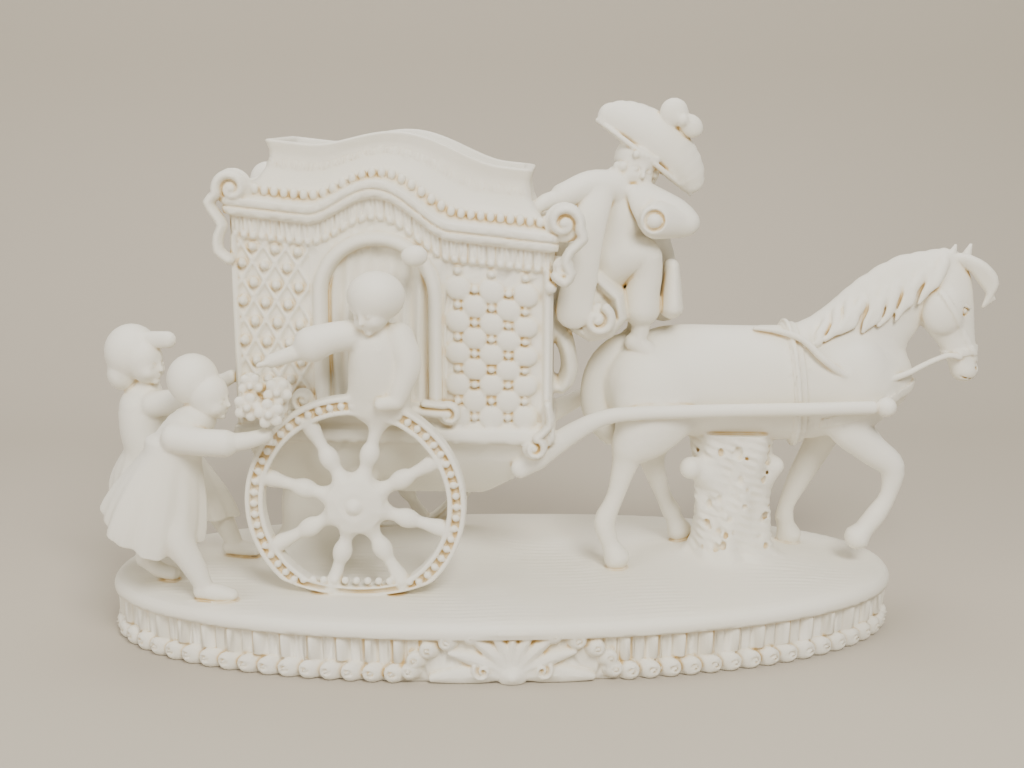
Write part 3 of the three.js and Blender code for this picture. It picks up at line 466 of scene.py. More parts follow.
def wall_chart():
    """The near wall laid flat over x and the unmoved height: trellis, puffs, window and reeded band."""
    chart = Chart(COACH["left"] - 6, COACH["right"] + 6, 80, 200, 0.3)
    u, v = chart.u, chart.v
    left, right = COACH["left"], COACH["right"]
    w = WINDOW
    jambs = (w["x"] - w["half"], w["x"] + w["half"])
    # The reeded band under the cornice, with a bead under every second pair of reeds
    reeds = 0.75 * np.abs(np.sin(math.pi * u / 1.75)) ** 0.7
    band = step_up(v, 158.8, 159.4) * step_up(-v, -166, -165.6)
    chart.raise_to(reeds * band)
    for k in range(int((right - left) / 3.5)):
        chart.dome(left + 2.4 + 3.5 * k, 158.4, 1.55, 1.6)
    # Ticks along the cove of the roof
    ticks = 0.5 * np.clip(np.sin(2 * math.pi * u / 1.5) + 0.2, 0, 1)
    chart.raise_to(ticks * step_up(v, 185.0, 185.5) * step_up(-v, -188.4, -187.9))
    # Left panel: a net of cords with a bead at each crossing
    net = lambda s: np.abs((s / 1 + 0.5) % 1 - 0.5)
    cell, rise = 8.7, 13.4
    p = (u - left) / cell
    q = (v - 95) / rise
    cords = np.minimum(net(p + q), net(p - q)) * cell
    left_panel = (u > left + 2.5) & (u < jambs[0] - 1) & (v < 157) & (v > 92)
    chart.height = np.where(left_panel, np.maximum(0.95 * step_up(-cords, -1.5, -0.3), chart.height) - 0.5, chart.height)
    # Right panel: round cushions with knobs between them
    right_panel = (u > jambs[1] + 1.5) & (u < right - 3.5) & (v < 157) & (v > 92)
    chart.height = np.where(right_panel, chart.height - 0.6, chart.height)
    for row in range(12):
        v0 = 95 + row * 6.7 - 1
        for k in range(-1, 12):
            u0 = left + 4.6 + cell * (k + 0.5 * (row % 2))
            if u0 < jambs[0] - 2.2 and u0 > left + 3.5 and v0 < 156:
                chart.dome(u0, v0, 1.75, 2.2)
        for k in range(0, 5):
            u0 = jambs[1] + 6 + 13.0 * (k - 0.5 * (row % 2))
            if jambs[1] + 3 < u0 < right - 6 and v0 < 154:
                chart.dome(u0, v0, 5.0, 2.0, -0.2)
            if jambs[1] + 2.5 < u0 + 6.5 < right - 4 and v0 < 155:
                chart.dome(u0 + 6.5, v0, 1.6, 2.0)
    # The upright borders of both panels
    for at in (left + 1.2, right - 1.8):
        chart.raise_to(np.where((np.abs(u - at) < 1.8) & (v < 158) & (v > 90), 1.5 * np.sqrt(np.clip(1 - ((u - at) / 1.8) ** 2, 0, 1)), -9))
    return chart


def window_distance(u, z):
    """The distance outside the window's opening, over the wall."""
    w = WINDOW
    r = w["half"] - w["jamb"]
    du = u - w["x"]
    arch = np.hypot(du, z - w["spring"]) - r
    jamb = np.maximum(np.abs(du) - r, w["sill"] - z)
    return np.where(z > w["spring"], arch, jamb)


def coach():
    c = COACH
    piece = CLAY.block((-114, -36, 52), (26, 44, 212))
    x, y, z = piece.axes
    lx, ly = coach_axes(x, y)
    lx, ly = lx.astype(np.float32), ly.astype(np.float32)
    flat = unmoved(lx, z).astype(np.float32)
    chart = wall_chart()
    outside = coach_plan(COACH_OUTSIDE, lx, ly, flat)
    near = (ly < -c["half_width"] + 12) | (ly > c["half_width"] - 12)
    relief = chart.at(np.broadcast_to(lx, flat.shape), flat)
    on_wall = (lx > c["left"] + 0.5) & (lx < c["right"] - 0.5)
    plain_back = np.where(ly > 0, 0.55, 1.0)
    relief = np.where(near & on_wall, relief * plain_back, 0)
    opening = window_distance(lx, z - 0 * ly)
    window_side = (ly < 0)
    inside_window = step_up(-opening, -0.6, 0.4) * window_side
    folds = 0.9 * np.sin(lx * 1.15 + 0.5 * np.sin(z / 9)) * np.sin(np.clip((z - 95) / 60, 0, 1) * 3.1) ** 0.5
    relief = relief * (1 - inside_window) + inside_window * (-2.2 + folds)
    frame_ridge = 3.2 * np.sqrt(np.clip(1 - ((opening - 2.7) / 2.7) ** 2, 0, 1)) * (z > WINDOW["sill"] - 1)
    relief = np.where(window_side & (opening > 0) & (opening < 5.4), np.maximum(frame_ridge, 0.4), relief)
    shell = outside * 0.92 - relief
    shell = soft_max(shell, flat - 195.2, 1.2)
    shell = soft_max(shell, 56.5 - z, 4)
    inner = coach_plan(COACH_INSIDE, lx, ly, flat) * 0.92
    inner = np.maximum(inner, 97 - z)
    piece.field[:] = soft_max(shell, -inner, 1.0)
    CLAY.join(piece, 1.5)
    coach_beads()
    coach_scrolls()
    window_sill()
    under_coach()


def coach_beads():
    c = COACH
    for side in (-1, 1):
        for k in range(33):
            x = c["left"] + 3.4 + 3.72 * k
            z = along(x, 176.2)
            (px, py), = [placed([(x, side * (c["half_width"] + 0.8))])[0]]
            ball((px, py, z), (1.65, 1.9, 2.1), 0.3)
    for end, x in ((-1, c["left"] + 3.4), (1, c["right"] - 3.2)):
        for k in range(13):
            y = -22.5 + 3.75 * k
            z = along(x, 176.2)
            px, py = placed([(x, y)])[0]
            ball((px, py, z), (1.9, 1.65, 2.1), 0.3)


def scroll(centre, radius, y, thick, turns, start, way, band=1.7, lead=()):
    """A band that may lead in from points [x, z], then winds to a raised eye on a flat back."""
    side = math.copysign(1, y)
    at = lambda px, out, pz: placed([(px, y + side * out, pz)])[0]
    flat = turn(0, 0, COACH["yaw"])
    ball(at(centre[0], -0.6 * thick, centre[1]), (radius - 0.8, 0.75 * thick, radius - 0.8), 0.8, flat)
    winding = spiral(centre, radius - band, turns, start, way)
    count = len(winding)
    rows = [(px, y, pz, band, thick) for px, pz in lead]
    rows += [(px, y, pz, band * (1 - 0.35 * k / count), thick * (1 - 0.5 * k / count)) for k, (px, pz) in enumerate(winding)]
    limb(placed(rows), 0.2, axis=ACROSS)
    ball(at(centre[0], 0.3 * thick, centre[1]), 0.24 * radius, 0.3)


def coach_scrolls():
    c = COACH
    a, b, w = c["left"], c["right"], c["half_width"]
    for side in (-1, 1):
        y = side * (w + 3)
        lead = [(a + 0.6, 155), (a - 3.4, 158.5), (a - 3.2, 164), (a - 1.6, 168), (a - 3.8, 172), (a - 6.4, 176.5)]
        scroll((a + 2.6, 182), 8.2, y, 3.6, 1.35, 200, -1, 2.0, lead)
        lead = [(b + 1, 150), (b + 4.4, 147.6), (b + 6.6, 151), (b + 4.6, 155), (b + 6.4, 159.5), (b + 11, 164)]
        scroll((b + 3.8, 170), 8.4, y, 3.6, 1.35, -20, 1, 2.0, lead)
        scroll((b + 3.4, 153.4), 4.6, y, 2.6, 1.1, 60, -1, 1.3)
        scroll((b - 6.5, 82.6), 5.8, y + side * 0.6, 3.4, 1.2, 80, -1, 1.5, [(b - 1.6, 100), (b - 0.6, 92)])
        ball(placed([(b - 1, side * (w + 2), 145.5)])[0], 2.4, 0.5)
    # The seat, a great C scroll on edge, with the bracket under it
    seat = [(b - 6, 150), (b + 6, 150), (b + 17, 146), (b + 25, 139), (b + 26.5, 131), (b + 22, 125), (b + 15, 123.5), (b + 9, 127)]
    for k in range(len(seat) - 1):
        p, q = seat[k], seat[k + 1]
        limb(placed([(p[0], 2, p[1], 3.4, 15), (q[0], 2, q[1], 3.4, 15)]), 0, axis=ACROSS, sharp=True)
    limb(placed([(b - 4, 2, 138, 11, 14), (b + 10, 2, 138, 11, 14), (b + 17, 2, 134, 8, 14)]), 2, axis=ACROSS)
    scroll((b + 17.6, 130.6), 7.6, -14.6, 3, 1.3, 60, -1, 1.9)
    bracket = [(b - 3, 1, 130, 4, 12), (b + 3, 1, 123, 4, 11.4), (b + 6, 1, 115, 3.4, 11), (b + 6.4, 1, 107, 3.6, 10.6), (b + 3.4, 1, 101.5, 3.4, 10.4),
               (b - 1, 1, 103, 3, 10)]
    limb(placed(bracket), 1.5, axis=ACROSS)


def window_sill():
    w = WINDOW
    y = -COACH["half_width"] - 2.4
    left, right = w["x"] - w["half"] - 1, w["x"] + w["half"] + 2
    limb(placed([(left, y, w["sill"] - 1, 2.2, 3.4), (right, y, w["sill"] - 3, 2.2, 3.4)]), 0.8, axis=ACROSS, sharp=True)
    scroll((left - 3.4, w["sill"] + 1.4), 5.4, y - 1, 3, 1.3, -60, -1, 1.4, [(left + 6, w["sill"] - 1.6)])
    scroll((right + 0.6, w["sill"] - 3.4), 5.6, y - 1, 3, 1.3, 120, -1, 1.4, [(right - 9, w["sill"] + 1)])


def under_coach():
    x, z, t = WHEEL["x"], WHEEL["z"], WHEEL["track"]
    limb(placed([(x, -t + 2, z, 3.4), (x, t - 2, z, 3.4)]), 1, sharp=True)
    limb(placed([(x, -20, z + 4, 5), (x, 20, z + 4, 5)]), 3, sharp=True)


# Wheels

def wheel(side):
    w = WHEEL
    y = side * w["track"]
    mid = w["radius"] - w["rim"] / 2
    centre = np.array(placed([(w["x"], y, w["z"])])[0])
    reach = w["radius"] + 2
    piece = CLAY.block((centre[0] - reach, centre[1] - 9, 24), (centre[0] + reach, centre[1] + 9, centre[2] + reach))
    lx, ly = coach_axes(piece.axes[0], piece.axes[1])
    dx, dy, dz = lx - w["x"], ly - y, piece.axes[2] - w["z"]
    # The rim is flattened where it stands on the ground
    sag = np.maximum(0, -dz - 31)
    rho = np.hypot(dx, dz - sag * 0.9)
    band = np.maximum(np.abs(rho - mid) - w["rim"] / 2 + 1.2, np.abs(dy) - 1.6)
    lip = np.hypot(np.maximum(np.abs(np.abs(rho - mid) - w["rim"] / 2 + 0.9) - 0.1, 0), np.maximum(np.abs(dy) - 2.6, 0)) - 0.9
    hub = np.maximum(rho - 9.6, np.abs(dy) - 3)
    piece.field[:] = soft_min(soft_min(soft_max(band, -FAR, 0), lip, 0.6), soft_max(hub, -FAR, 0) - 0.6, 2.5)
    CLAY.join(piece, 0.8)
    out = side * 3.2
    at = lambda r, a: (w["x"] + r * math.cos(a), max(w["z"] + r * math.sin(a), 26.8 + (r < 42) * 3.2))
    for k in range(56):
        a = 2 * math.pi * k / 56
        px, pz = at(mid, a)
        if pz < 31.5 and abs(px - w["x"]) < 22:
            pz = 30.4
        bead = placed([(px, y + out * 0.75, pz)])[0]
        ball(bead, 1.55, 0.25)
    for k in range(w["spokes"]):
        a = math.radians(w["first"] + 360 * k / w["spokes"])
        spot = lambda r, size: (w["x"] + r * math.cos(a), y, w["z"] + r * math.sin(a), size)
        limb(placed([spot(6, 5.4), spot(10, 4.2), spot(14, 2.7), spot(17, 2.6)]), 3)
        limb(placed([spot(17, 2.4), spot(19, 3.4), spot(20.6, 3.8), spot(22.4, 3.4), spot(24.6, 2.2)]), 0.6, step=0.8)
        limb(placed([spot(23.5, 2.2), spot(29, 2.5), spot(33, 3.1)]), 0.8)
        limb(placed([spot(33.4, 3.2), spot(36.8, 3.5)]), 0.6)
    petal = side * 3.6
    for k in range(10):
        a = 2 * math.pi * k / 10
        spot = placed([(w["x"] + 6.6 * math.cos(a), y + petal, w["z"] + 6.6 * math.sin(a))])[0]
        ball(spot, (1.9, 1.3, 1.9), 0.35)
    limb(placed([(w["x"], y, w["z"], 4.2), (w["x"], y + side * 3.4, w["z"], 4.0), (w["x"], y + side * 5.4, w["z"], 2.6)]), 0.6, step=1)


# Pony

PONY = dict(
    body=[(50, 98, 11, 8), (57, 101, 19, 13), (68, 102, 22.6, 16.4), (88, 101.5, 23.2, 17), (108, 100.6, 23.8, 17),
          (126, 101, 23.6, 16), (141, 102.5, 21.4, 14), (153, 103, 16, 10.5), (158, 102, 10, 7)],
    neck=[(129, 106, 20, 12), (143, 117.5, 19, 9.4), (154.6, 130.4, 17, 7.8), (165, 140.6, 13.6, 6.4), (176, 146, 10.2, 5.8)],
    head=[(182, 150, 6, 5), (181, 142, 10.2, 6.6), (181.6, 132, 11.2, 7), (185.6, 122, 8.2, 5.8), (188.6, 113.5, 6.4, 5),
          (190, 107.5, 5.2, 4.5)],
    tail=[(59, 117, 3.6), (49, 117.4, 5), (40, 110, 5.6), (36.5, 99, 5.8), (38, 88, 6), (44, 80, 5.4), (51, 77, 3.4)])
LEGS = dict(
    near_hind=[(-8, 62, 96, 18, 9), (-9, 57, 85, 13, 8), (-9, 50.6, 77, 8, 6), (-9, 48.6, 71, 5.6, 4.2),
               (-9, 44.6, 56, 3.6, 3.2), (-9, 40.4, 45, 4.4, 4), (-9, 42.0, 37.4, 3.7, 3.7)],
    far_hind=[(14, 62, 96, 17, 9), (16, 66, 82, 11, 8), (17, 63.4, 70, 7, 5), (18, 64, 62, 5, 4),
              (18, 69, 48, 3.4, 3.2), (18, 73, 40, 4.1, 3.8)],
    near_fore=[(-4, 147, 99, 14, 8), (-6, 141, 86, 9.4, 6.6), (-7, 150, 75.5, 6.6, 5.2), (-7, 160, 67, 5.2, 4.6),
               (-7, 159.4, 55, 3.4, 3.2), (-7, 155, 46.6, 4.2, 3.8), (-7, 151.6, 42, 4, 4)],
    far_fore=[(13, 145, 96, 13, 8), (15, 140, 84, 8.6, 6.2), (16, 135, 70, 6.4, 5), (17, 128.4, 55.6, 5, 4.6),
              (17, 123.4, 43.6, 3.4, 3.2), (17, 122.6, 37.6, 4, 3.8)])
HOOVES = ((-9, 43.6, 33.6, 45.6, 29.4), (18, 74.6, 36, 76.4, 32), (-7, 150.4, 40, 147.6, 36.6), (17, 123.4, 34, 124.8, 29.6))


def pony():
    clay = Clay((28, -26, 24), [int(v / STEP) for v in (182, 56, 138)])
    y = HORSE_Y
    clay.low = CLAY.low + STEP * np.round((np.array((24, -26, 24)) - CLAY.low) / STEP)
    for key in ("body", "neck"):
        limb([(px, y, pz, r, s) for px, pz, r, s in PONY[key]], 6, clay=clay, step=5)
    limb([(px, y - 0.6 * k, pz, r, s) for k, (px, pz, r, s) in enumerate(PONY["head"])], 3, clay=clay)
    for name, rows in LEGS.items():
        limb([(px, py, pz, r, s) for py, px, pz, r, s in rows], 5, clay=clay)
    for py, x0, z0, x1, z1 in HOOVES:
        limb([(x0, py, z0, 3.9), (x1, py, z1, 5.4)], 1, clay=clay, sharp=True)
    # Buttock, shoulder, chest and cheek
    ball((57, -4, 103), (15, 9, 16), 5, clay=clay)
    ball((57, 12, 103), (15, 9, 16), 5, clay=clay)
    ball((143, -5, 104), (13, 8, 17), 5, clay=clay)
    ball((143, 13, 104), (13, 8, 17), 5, clay=clay)
    ball((157, 4, 100), (8, 10, 10), 4, clay=clay)
    ball((178.4, -2.6, 131.6), (8.6, 4.6, 9.6), 2, clay=clay)
    ball((178.4, 6.6, 131.6), (8.6, 4.6, 9.6), 2, clay=clay)
    ball((190.4, 0.4, 106.4), (5.2, 4.4, 4.4), 2, clay=clay)
    pony_straps(clay)
    piece = CLAY.block(clay.low, clay.low + STEP * (np.array(clay.field.shape) - 1), 0)
    piece.field = clay.field[:piece.field.shape[0], :piece.field.shape[1], :piece.field.shape[2]]
    CLAY.join(piece, 1.2)
    tail()
    mane()
    pony_head()
    reins()


def pony_straps(clay):
    """Straps that follow the pony's skin: girth, loin, breast, noseband, cheek and brow bands."""
    cut, (x, y, z) = clay.span(clay.low, clay.low + 999, 0)
    f = clay.field
    bands = [
        (np.abs(x - 118.5 + (z - 100) * 0.10), 2.7, (z > 70) & (x > 100) & (x < 135), 1.0),
        (np.abs(x - 117.6 + (z - 100) * 0.10), 0.9, (z > 70) & (x > 100) & (x < 135), 1.5),
        (np.abs((z - 93.5) - (x - 150) * 0.35), 2.2, (x > 128) & (x < 176) & (z < 110), 1.0),
        (np.abs((z - 114.4) - (x - 188) * 0.18), 1.5, (x > 176) & (z > 100), 0.8),
        (np.abs((x - 176.6) * 0.80 + (z - 133) * 0.52 - 3.2), 1.3, (x > 168) & (z > 110) & (z < 152), 0.7),
    ]
    for distance, half, where, proud in bands:
        strap = soft_max(f - proud, distance - half, 0.5)
        f[:] = np.where(where, np.minimum(f, strap), f)


def tail():
    limb([(px, HORSE_Y - 1, pz, r) for px, pz, r in PONY["tail"]], 1.5)
    for k, out in enumerate((-4.6, -2.2, 0.4, 3.0, 4.8)):
        rows = [(px + out * 0.55, HORSE_Y - 1 - math.sqrt(max(0, 24 - out * out)) * 0.8, pz + out * 0.35, 1.4) for px, pz, r in PONY["tail"][1:]]
        limb(rows, 0.7)


def mane():
    for k in range(12):
        s = k / 11
        x, z = 179 - 52 * s, 154.6 - 29 * s + 3.6 * math.sin(math.pi * s)
        long = 12 + 9 * math.sin(math.pi * min(1, s * 1.2 + 0.1))
        sway = 2.6 * math.sin(k * 2.4)
        rows = [(x, HORSE_Y - 1, z, 2.4, 2.4), (x - 1.5 - sway * 0.2, HORSE_Y - 5 - 1.6 * s, z - long * 0.25, 2.5, 1.8),
                (x - 3.5 + sway * 0.6, HORSE_Y - 7 - 3.4 * s, z - long * 0.55, 2.1, 1.5),
                (x - 5.5 + sway * 0.2, HORSE_Y - 8.2 - 4 * s, z - long * 0.8, 1.6, 1.1), (x - 9 + sway, HORSE_Y - 8.6 - 4.4 * s, z - long, 0.8, 0.7)]
        limb(rows, 0.8)


def pony_head():
    y = HORSE_Y
    for x, side in ((180.4, 1.5), (188, 4.6)):
        limb([(x, y + side - 4, 149, 3, 2.4), (x + 0.6, y + side - 4.4, 153, 2.4, 1.6), (x + 2.4, y + side - 4, 158, 0.8, 0.6)], 0.8)
    for k in range(4):
        limb([(184 + k, 1.2 - k * 0.6, 153, 2), (190 + k * 1.2, -0.6 - k * 0.5, 149.5, 2.2), (195 + k * 1.2, -1 - k * 0.4, 143, 1.9),
              (199.4 - k * 1.4, -1.4, 136.4 - k, 0.8)], 0.7)
    for side in (-1, 1):
        eye = (186.2, y - 1.6 + side * 5.6, 131.8)
        ball(eye, (2.8, 1.8, 2.2), 0.6, carve=True)
        ball((eye[0], eye[1] - side * 0.5, eye[2]), (1.9, 1.5, 1.5), 0.3)
        limb([(184, eye[1] + side * 0.2, 133.6, 0.7), (186.6, eye[1] + side * 0.4, 134.4, 0.8), (189, eye[1], 133, 0.6)], 0.4)
        ball((193.4, y - 2.6 + side * 3.2, 107.6), (1.2, 1.2, 1.0), 0.4, carve=True)
        limb([(187, y - 2.6 + side * 4.6, 104.6, 0.45), (192, y - 2.6 + side * 3.6, 103.6, 0.45)], 0.3, carve=True)


def reins():
    near = [(186, -4.2, 112.6, 1.2), (181, -4.4, 113.6, 1.2), (171, -5.8, 110, 1.2), (163, -7.2, 106.4, 1.3), (150, -9.6, 103.6, 1.3),
            (138, -11.6, 106.4, 1.3), (127, -12.6, 113.6, 1.4), (119, -9.8, 121.2, 1.4), (110, -5, 124, 1.2), (101, -2, 124.6, 0.8)]
    limb(near, 0.5)


def shaft(y, root_y):
    mid = (root_y + y) / 2
    limb([(11, root_y, 76.6, 4.4, 3), (17, root_y, 81.4, 4.4, 3), (26, mid, 86.6, 4, 3), (38, y, 91.4, 3.2, 3), (52, y, 93.2, 2.8, 2.8),
          (84, y, 94, 2.7, 2.7), (116, y, 94.4, 2.7, 2.7), (146, y, 95, 2.7, 2.7)], 1.5)
    limb([(4.6, root_y, 72.6, 3.9, 3), (11, root_y, 76.6, 4.2, 3)], 1.5, sharp=True)
    ball((152, y, 95.2), 4, 0.8)


# Figures

def head(centre, size, facing, nod, roll, hair):
    """A child's head of a general kind: brow, cheeks, chin, a small nose, calm eyes and mouth."""
    frame3 = turn(roll, nod, facing)
    put = lambda f, l, u: np.array(centre) + size * (frame3 @ np.array((f, l, u)))
    part = lambda at, radii, blend, carve=False: ball(put(*at), np.array(radii) * size, blend * size, frame3, carve)
    part((-0.08, 0, 0.16), (0.94, 0.86, 0.92), 0.1)
    part((0.2, 0, -0.3), (0.70, 0.66, 0.62), 0.2)
    for side in (-1, 1):
        part((0.50, 0.36 * side, -0.34), (0.34, 0.30, 0.30), 0.16)
        part((0.90, 0.31 * side, 0.00), (0.22, 0.17, 0.13), 0.10, True)
        part((0.715, 0.31 * side, -0.02), (0.13, 0.15, 0.10), 0.03)
    part((0.70, 0, -0.76), (0.17, 0.19, 0.15), 0.15)
    row = lambda pts: [tuple(put(*p[:3])) + (p[3] * size,) for p in pts]
    limb(row([(0.84, 0, 0.10, 0.07), (0.93, 0, -0.10, 0.08), (0.99, 0, -0.21, 0.10)]), 0.08 * size, step=1)
    limb(row([(0.85, -0.10, -0.24, 0.06), (0.94, 0, -0.25, 0.06), (0.85, 0.10, -0.24, 0.06)]), 0.05 * size, step=1)
    limb(row([(0.80, -0.15, -0.44, 0.045), (0.90, 0, -0.425, 0.06), (0.80, 0.15, -0.44, 0.045)]), 0.04 * size, step=1)
    limb(row([(0.79, -0.12, -0.54, 0.05), (0.87, 0, -0.55, 0.065), (0.79, 0.12, -0.54, 0.05)]), 0.04 * size, step=1)
    hair(put, size)
    return put


def locks(put, size, strands, thick, blend=0.6):
    for strand in strands:
        limb([tuple(put(*p)) + (thick * size * (1 - 0.35 * k / len(strand)),) for k, p in enumerate(strand)], blend)


def driver_hair(put, size):
    ball(put(-0.28, 0, 0.22), np.array((0.92, 0.98, 0.95)) * size, 0.5)
    for side in (-1, 1):
        for k in range(5):
            a = -0.1 - 0.28 * k
            ball(put(0.42 - 0.16 * k, side * (0.80 + 0.05 * k), a), 0.21 * size, 0.5)
            ball(put(0.20 - 0.14 * k, side * (0.92 + 0.03 * k), a - 0.08), 0.2 * size, 0.5)
    for k in range(5):
        ball(put(0.66, -0.5 + 0.25 * k, 0.58), 0.17 * size, 0.4)


def skirt(waist, hem, size, folds, lean, dip, thick=2.0, depth=0.085):
    """A skirt that opens from waist to hem in folds, hollow below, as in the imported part."""
    waist, hem = np.array(waist, float), np.array(hem, float)
    reach = max(size) + 8
    piece = CLAY.block(np.minimum(waist, hem) - reach, np.maximum(waist, hem) + reach)
    x, y, z = piece.axes
    rx, ry, hx, hy = size
    tip = math.radians(lean)
    s = np.clip((waist[2] - z + 0.0) / (waist[2] - hem[2]), -0.3, 1.5) + 0 * x + 0 * y
    for _ in range(3):
        ss = np.clip(s, 0, 1.3)
        cx, cy = waist[0] + (hem[0] - waist[0]) * ss, waist[1] + (hem[1] - waist[1]) * ss
        s = (waist[2] + ((x - cx) * math.tan(tip) + dip * (y - cy) / hy) * ss - z) / (waist[2] - hem[2])
    ss = np.clip(s, 0, 1.2)
    swell = np.sin(np.minimum(ss, 1) * math.pi / 2)
    wide, deep = rx + (hx - rx) * swell, ry + (hy - ry) * swell
    a = np.arctan2((y - cy) / deep, (x - cx) / wide)
    wave = np.cos(folds * a + 1.6 * np.sin(a) + 0.6)
    ridge = 1 + depth * ss * (0.7 * wave + 0.3 * np.cos(2 * folds * a + 1))
    rho = np.hypot((x - cx) / wide, (y - cy) / deep)
    d = (rho - ridge) * np.minimum(wide, deep) * 0.85
    drop_z = (waist[2] - hem[2])
    body = soft_max(d, (s - 1) * drop_z, 1.0)
    body = soft_max(body, -(s + 0.15) * drop_z, 3.0)
    hollow = np.maximum(d + thick, (0.72 - s) * drop_z)
    piece.field[:] = soft_max(body, -hollow, 0.8)
    CLAY.join(piece, 2.0)


def driver():
    tilt = math.radians(-37)
    limb([(47, 1, 181, 6, 6), (46, 1, 174, 10, 10), (44, 1, 163, 10, 11), (42, 1, 152, 11, 12)], 3)
    head((50.6, -1, 190), 9, -74, 14, -14, driver_hair)
    hat = []
    for s in np.linspace(-1, 1, 15):
        high = 1.2 + 8.4 * math.sqrt(max(0, 1 - s * s))
        out, up = 23.4 * s, high - 1
        hat.append((54 + out * math.cos(tilt) - up * math.sin(tilt), 0, 193 + out * math.sin(tilt) + up * math.cos(tilt), high,
                    1.3 + 6.8 * (1 - s * s)))
    limb(hat, 1, sharp=True)
    limb([(54 + s * 22 * math.cos(tilt) + 1.5 * math.sin(tilt), -6.5 * (1 - s * s) - 0.6, 193 + s * 22 * math.sin(tilt) - 0.2 * math.cos(tilt) + 1.2, 1.0)
          for s in np.linspace(-1, 1, 9)], 0.5)
    ball((64.6, -4.4, 210.5), (5.6, 3.2, 5.6), 0.8, turn(0, 20, 0))
    ball((71.4, -4.4, 205.4), (5.2, 3.2, 4.2), 0.8, turn(0, 40, 0))
    ball((67.6, -6.2, 207.6), 2.6, 0.6)
    # Cravat, arms, sleeves, coat tails and legs
    limb([(49, -9, 180, 3, 2), (51, -11, 175, 3.6, 2), (53, -11, 168.6, 2.6, 1.6)], 1)
    limb([(42, -4, 181.6, 6.6), (32, -7, 182.4, 5.8), (21, -12, 178.6, 5)], 2)
    limb([(21, -12, 178, 3.6), (14, -16, 176.6, 3.2), (10.4, -18, 174.6, 2.6)], 1)
    for k in range(4):
        limb([(13, -17.5, 176.4 - k * 0.6, 1.2), (9.4 - 0.2 * k, -19.4 + k * 1.5, 174.4, 1.0)], 0.5)
    limb([(54, -6, 178, 5.8), (66, -8, 172, 5.6), (70, -9, 168.2, 5.4)], 2)
    limb([(67, -9, 168, 6), (58, -13, 169.4, 7.4)], 1, sharp=True)
    ball((56.4, -17.4, 169.8), (6.2, 3.4, 6.2), 0.8, turn(0, 0, 12))
    ball((55.6, -20, 169.8), (4.4, 3.2, 4.4), 0.7, turn(0, 0, 12), carve=True)
    ball((56, -17.6, 169.6), (3.4, 3.2, 3.2), 0.5)
    limb([(35, -9, 180, 6.4, 3.4), (31, -14, 166, 6.6, 2.8), (28, -16.4, 150, 6.8, 2.4), (25.4, -17.4, 134.4, 7.2, 2.2)], 1)
    limb([(56, 6, 168, 7, 4), (61, 8, 152, 8, 3.4), (65, 8, 133.6, 7.6, 2.4)], 1)
    limb([(66, -2, 150, 3, 8), (66, -2, 134, 5, 9)], 1)
    for y in (-5, 7):
        limb([(42, y, 152, 7.8), (53, y - 1, 155.6, 7.2), (55.4, y - 1, 148, 6.2), (54, y - 1, 140, 6.8), (53.6, y - 1, 133.6, 7.4)], 2)
        limb([(54, y - 1, 136, 4.4), (53.6, y - 1, 126, 3.6), (52.6, y - 1, 121, 3.4)], 1)
        limb([(50.6, y - 1, 120, 3.4, 3.4), (56, y - 1.6, 117, 3.6, 3.6), (60.6, y - 2, 113, 2.4, 2.8)], 1)


def window_hair(put, size):
    ball(put(-0.3, 0.1, 0.35), np.array((1.2, 1.12, 1.05)) * size, 0.8)


def window_child():
    limb([(-52, -36, 130, 7, 6), (-51, -36, 124, 10, 8), (-50, -34.6, 114, 11.6, 8.4), (-50, -32, 104, 12, 8)], 3)
    head((-51.4, -41, 139.6), 9, -125, 22, 6, window_hair)
    ball((-36, -35, 158), (5, 4, 4), 1)
    limb([(-60, -38, 129, 5.6), (-68, -41, 128, 5.8), (-74, -42, 126, 6.8, 6)], 2)
    limb([(-74, -42, 125, 3.4), (-84, -43, 121.6, 2.9), (-89, -43, 120, 2.6)], 1)
    for k in range(4):
        limb([(-88, -44 + k, 120.2, 1.3), (-93.6, -44.4 + 1.3 * k, 118.6 - 0.3 * k, 0.9)], 0.5)
    limb([(-42, -38, 128, 5.6), (-38.6, -40, 118, 5), (-42, -41, 107, 3.8)], 1.5)
    limb([(-43, -42, 104, 3), (-49, -42, 103, 2.4)], 0.8)


def near_hair(put, size):
    ball(put(-0.9, 0.15, 0.62), np.array((1.16, 1.12, 1.18)) * size, 0.6)


def near_child():
    limb([(-119, -33, 96, 7, 7), (-124, -32, 90, 9, 9), (-130, -31, 81, 10, 10.6)], 3)
    head((-114.4, -34, 104.4), 8.4, -14, 8, 0, near_hair)
    skirt((-130, -31, 84), (-139.6, -29, 52), (10, 10.6, 19, 15.4), 8, -16, 8)
    limb([(-126, -40, 90, 5.8), (-117, -42.6, 89, 5.2), (-107.6, -43.6, 88.6, 5.2)], 1.5)
    limb([(-107, -43.6, 88.6, 3.6), (-98.4, -42.6, 89.6, 3.2), (-93, -41.6, 91, 2.8)], 0.8)
    for k in range(4):
        limb([(-95, -43 + k, 91.4 - k, 1.2), (-90.6, -41.4 + k * 0.4, 92.4 - 1.5 * k, 1.0)], 0.4)
    limb([(-130, -36, 56, 6.4), (-127.4, -38, 48, 5.6), (-122, -38, 37, 4.4), (-119, -38, 30, 3.4)], 1.5)
    limb([(-120, -38, 28, 3.2, 3.4), (-113, -39, 27.4, 3.4, 4), (-108, -39.6, 26.8, 2.4, 3.4)], 1)
    limb([(-141, -22, 54, 5.6), (-144, -20, 44, 4.8), (-146, -18.4, 34.6, 3.6)], 1.5)
    limb([(-146, -18.4, 34.6, 3.4), (-141, -18, 29.4, 3, 3.4), (-135, -18.4, 27.6, 2.6, 3.2)], 1)


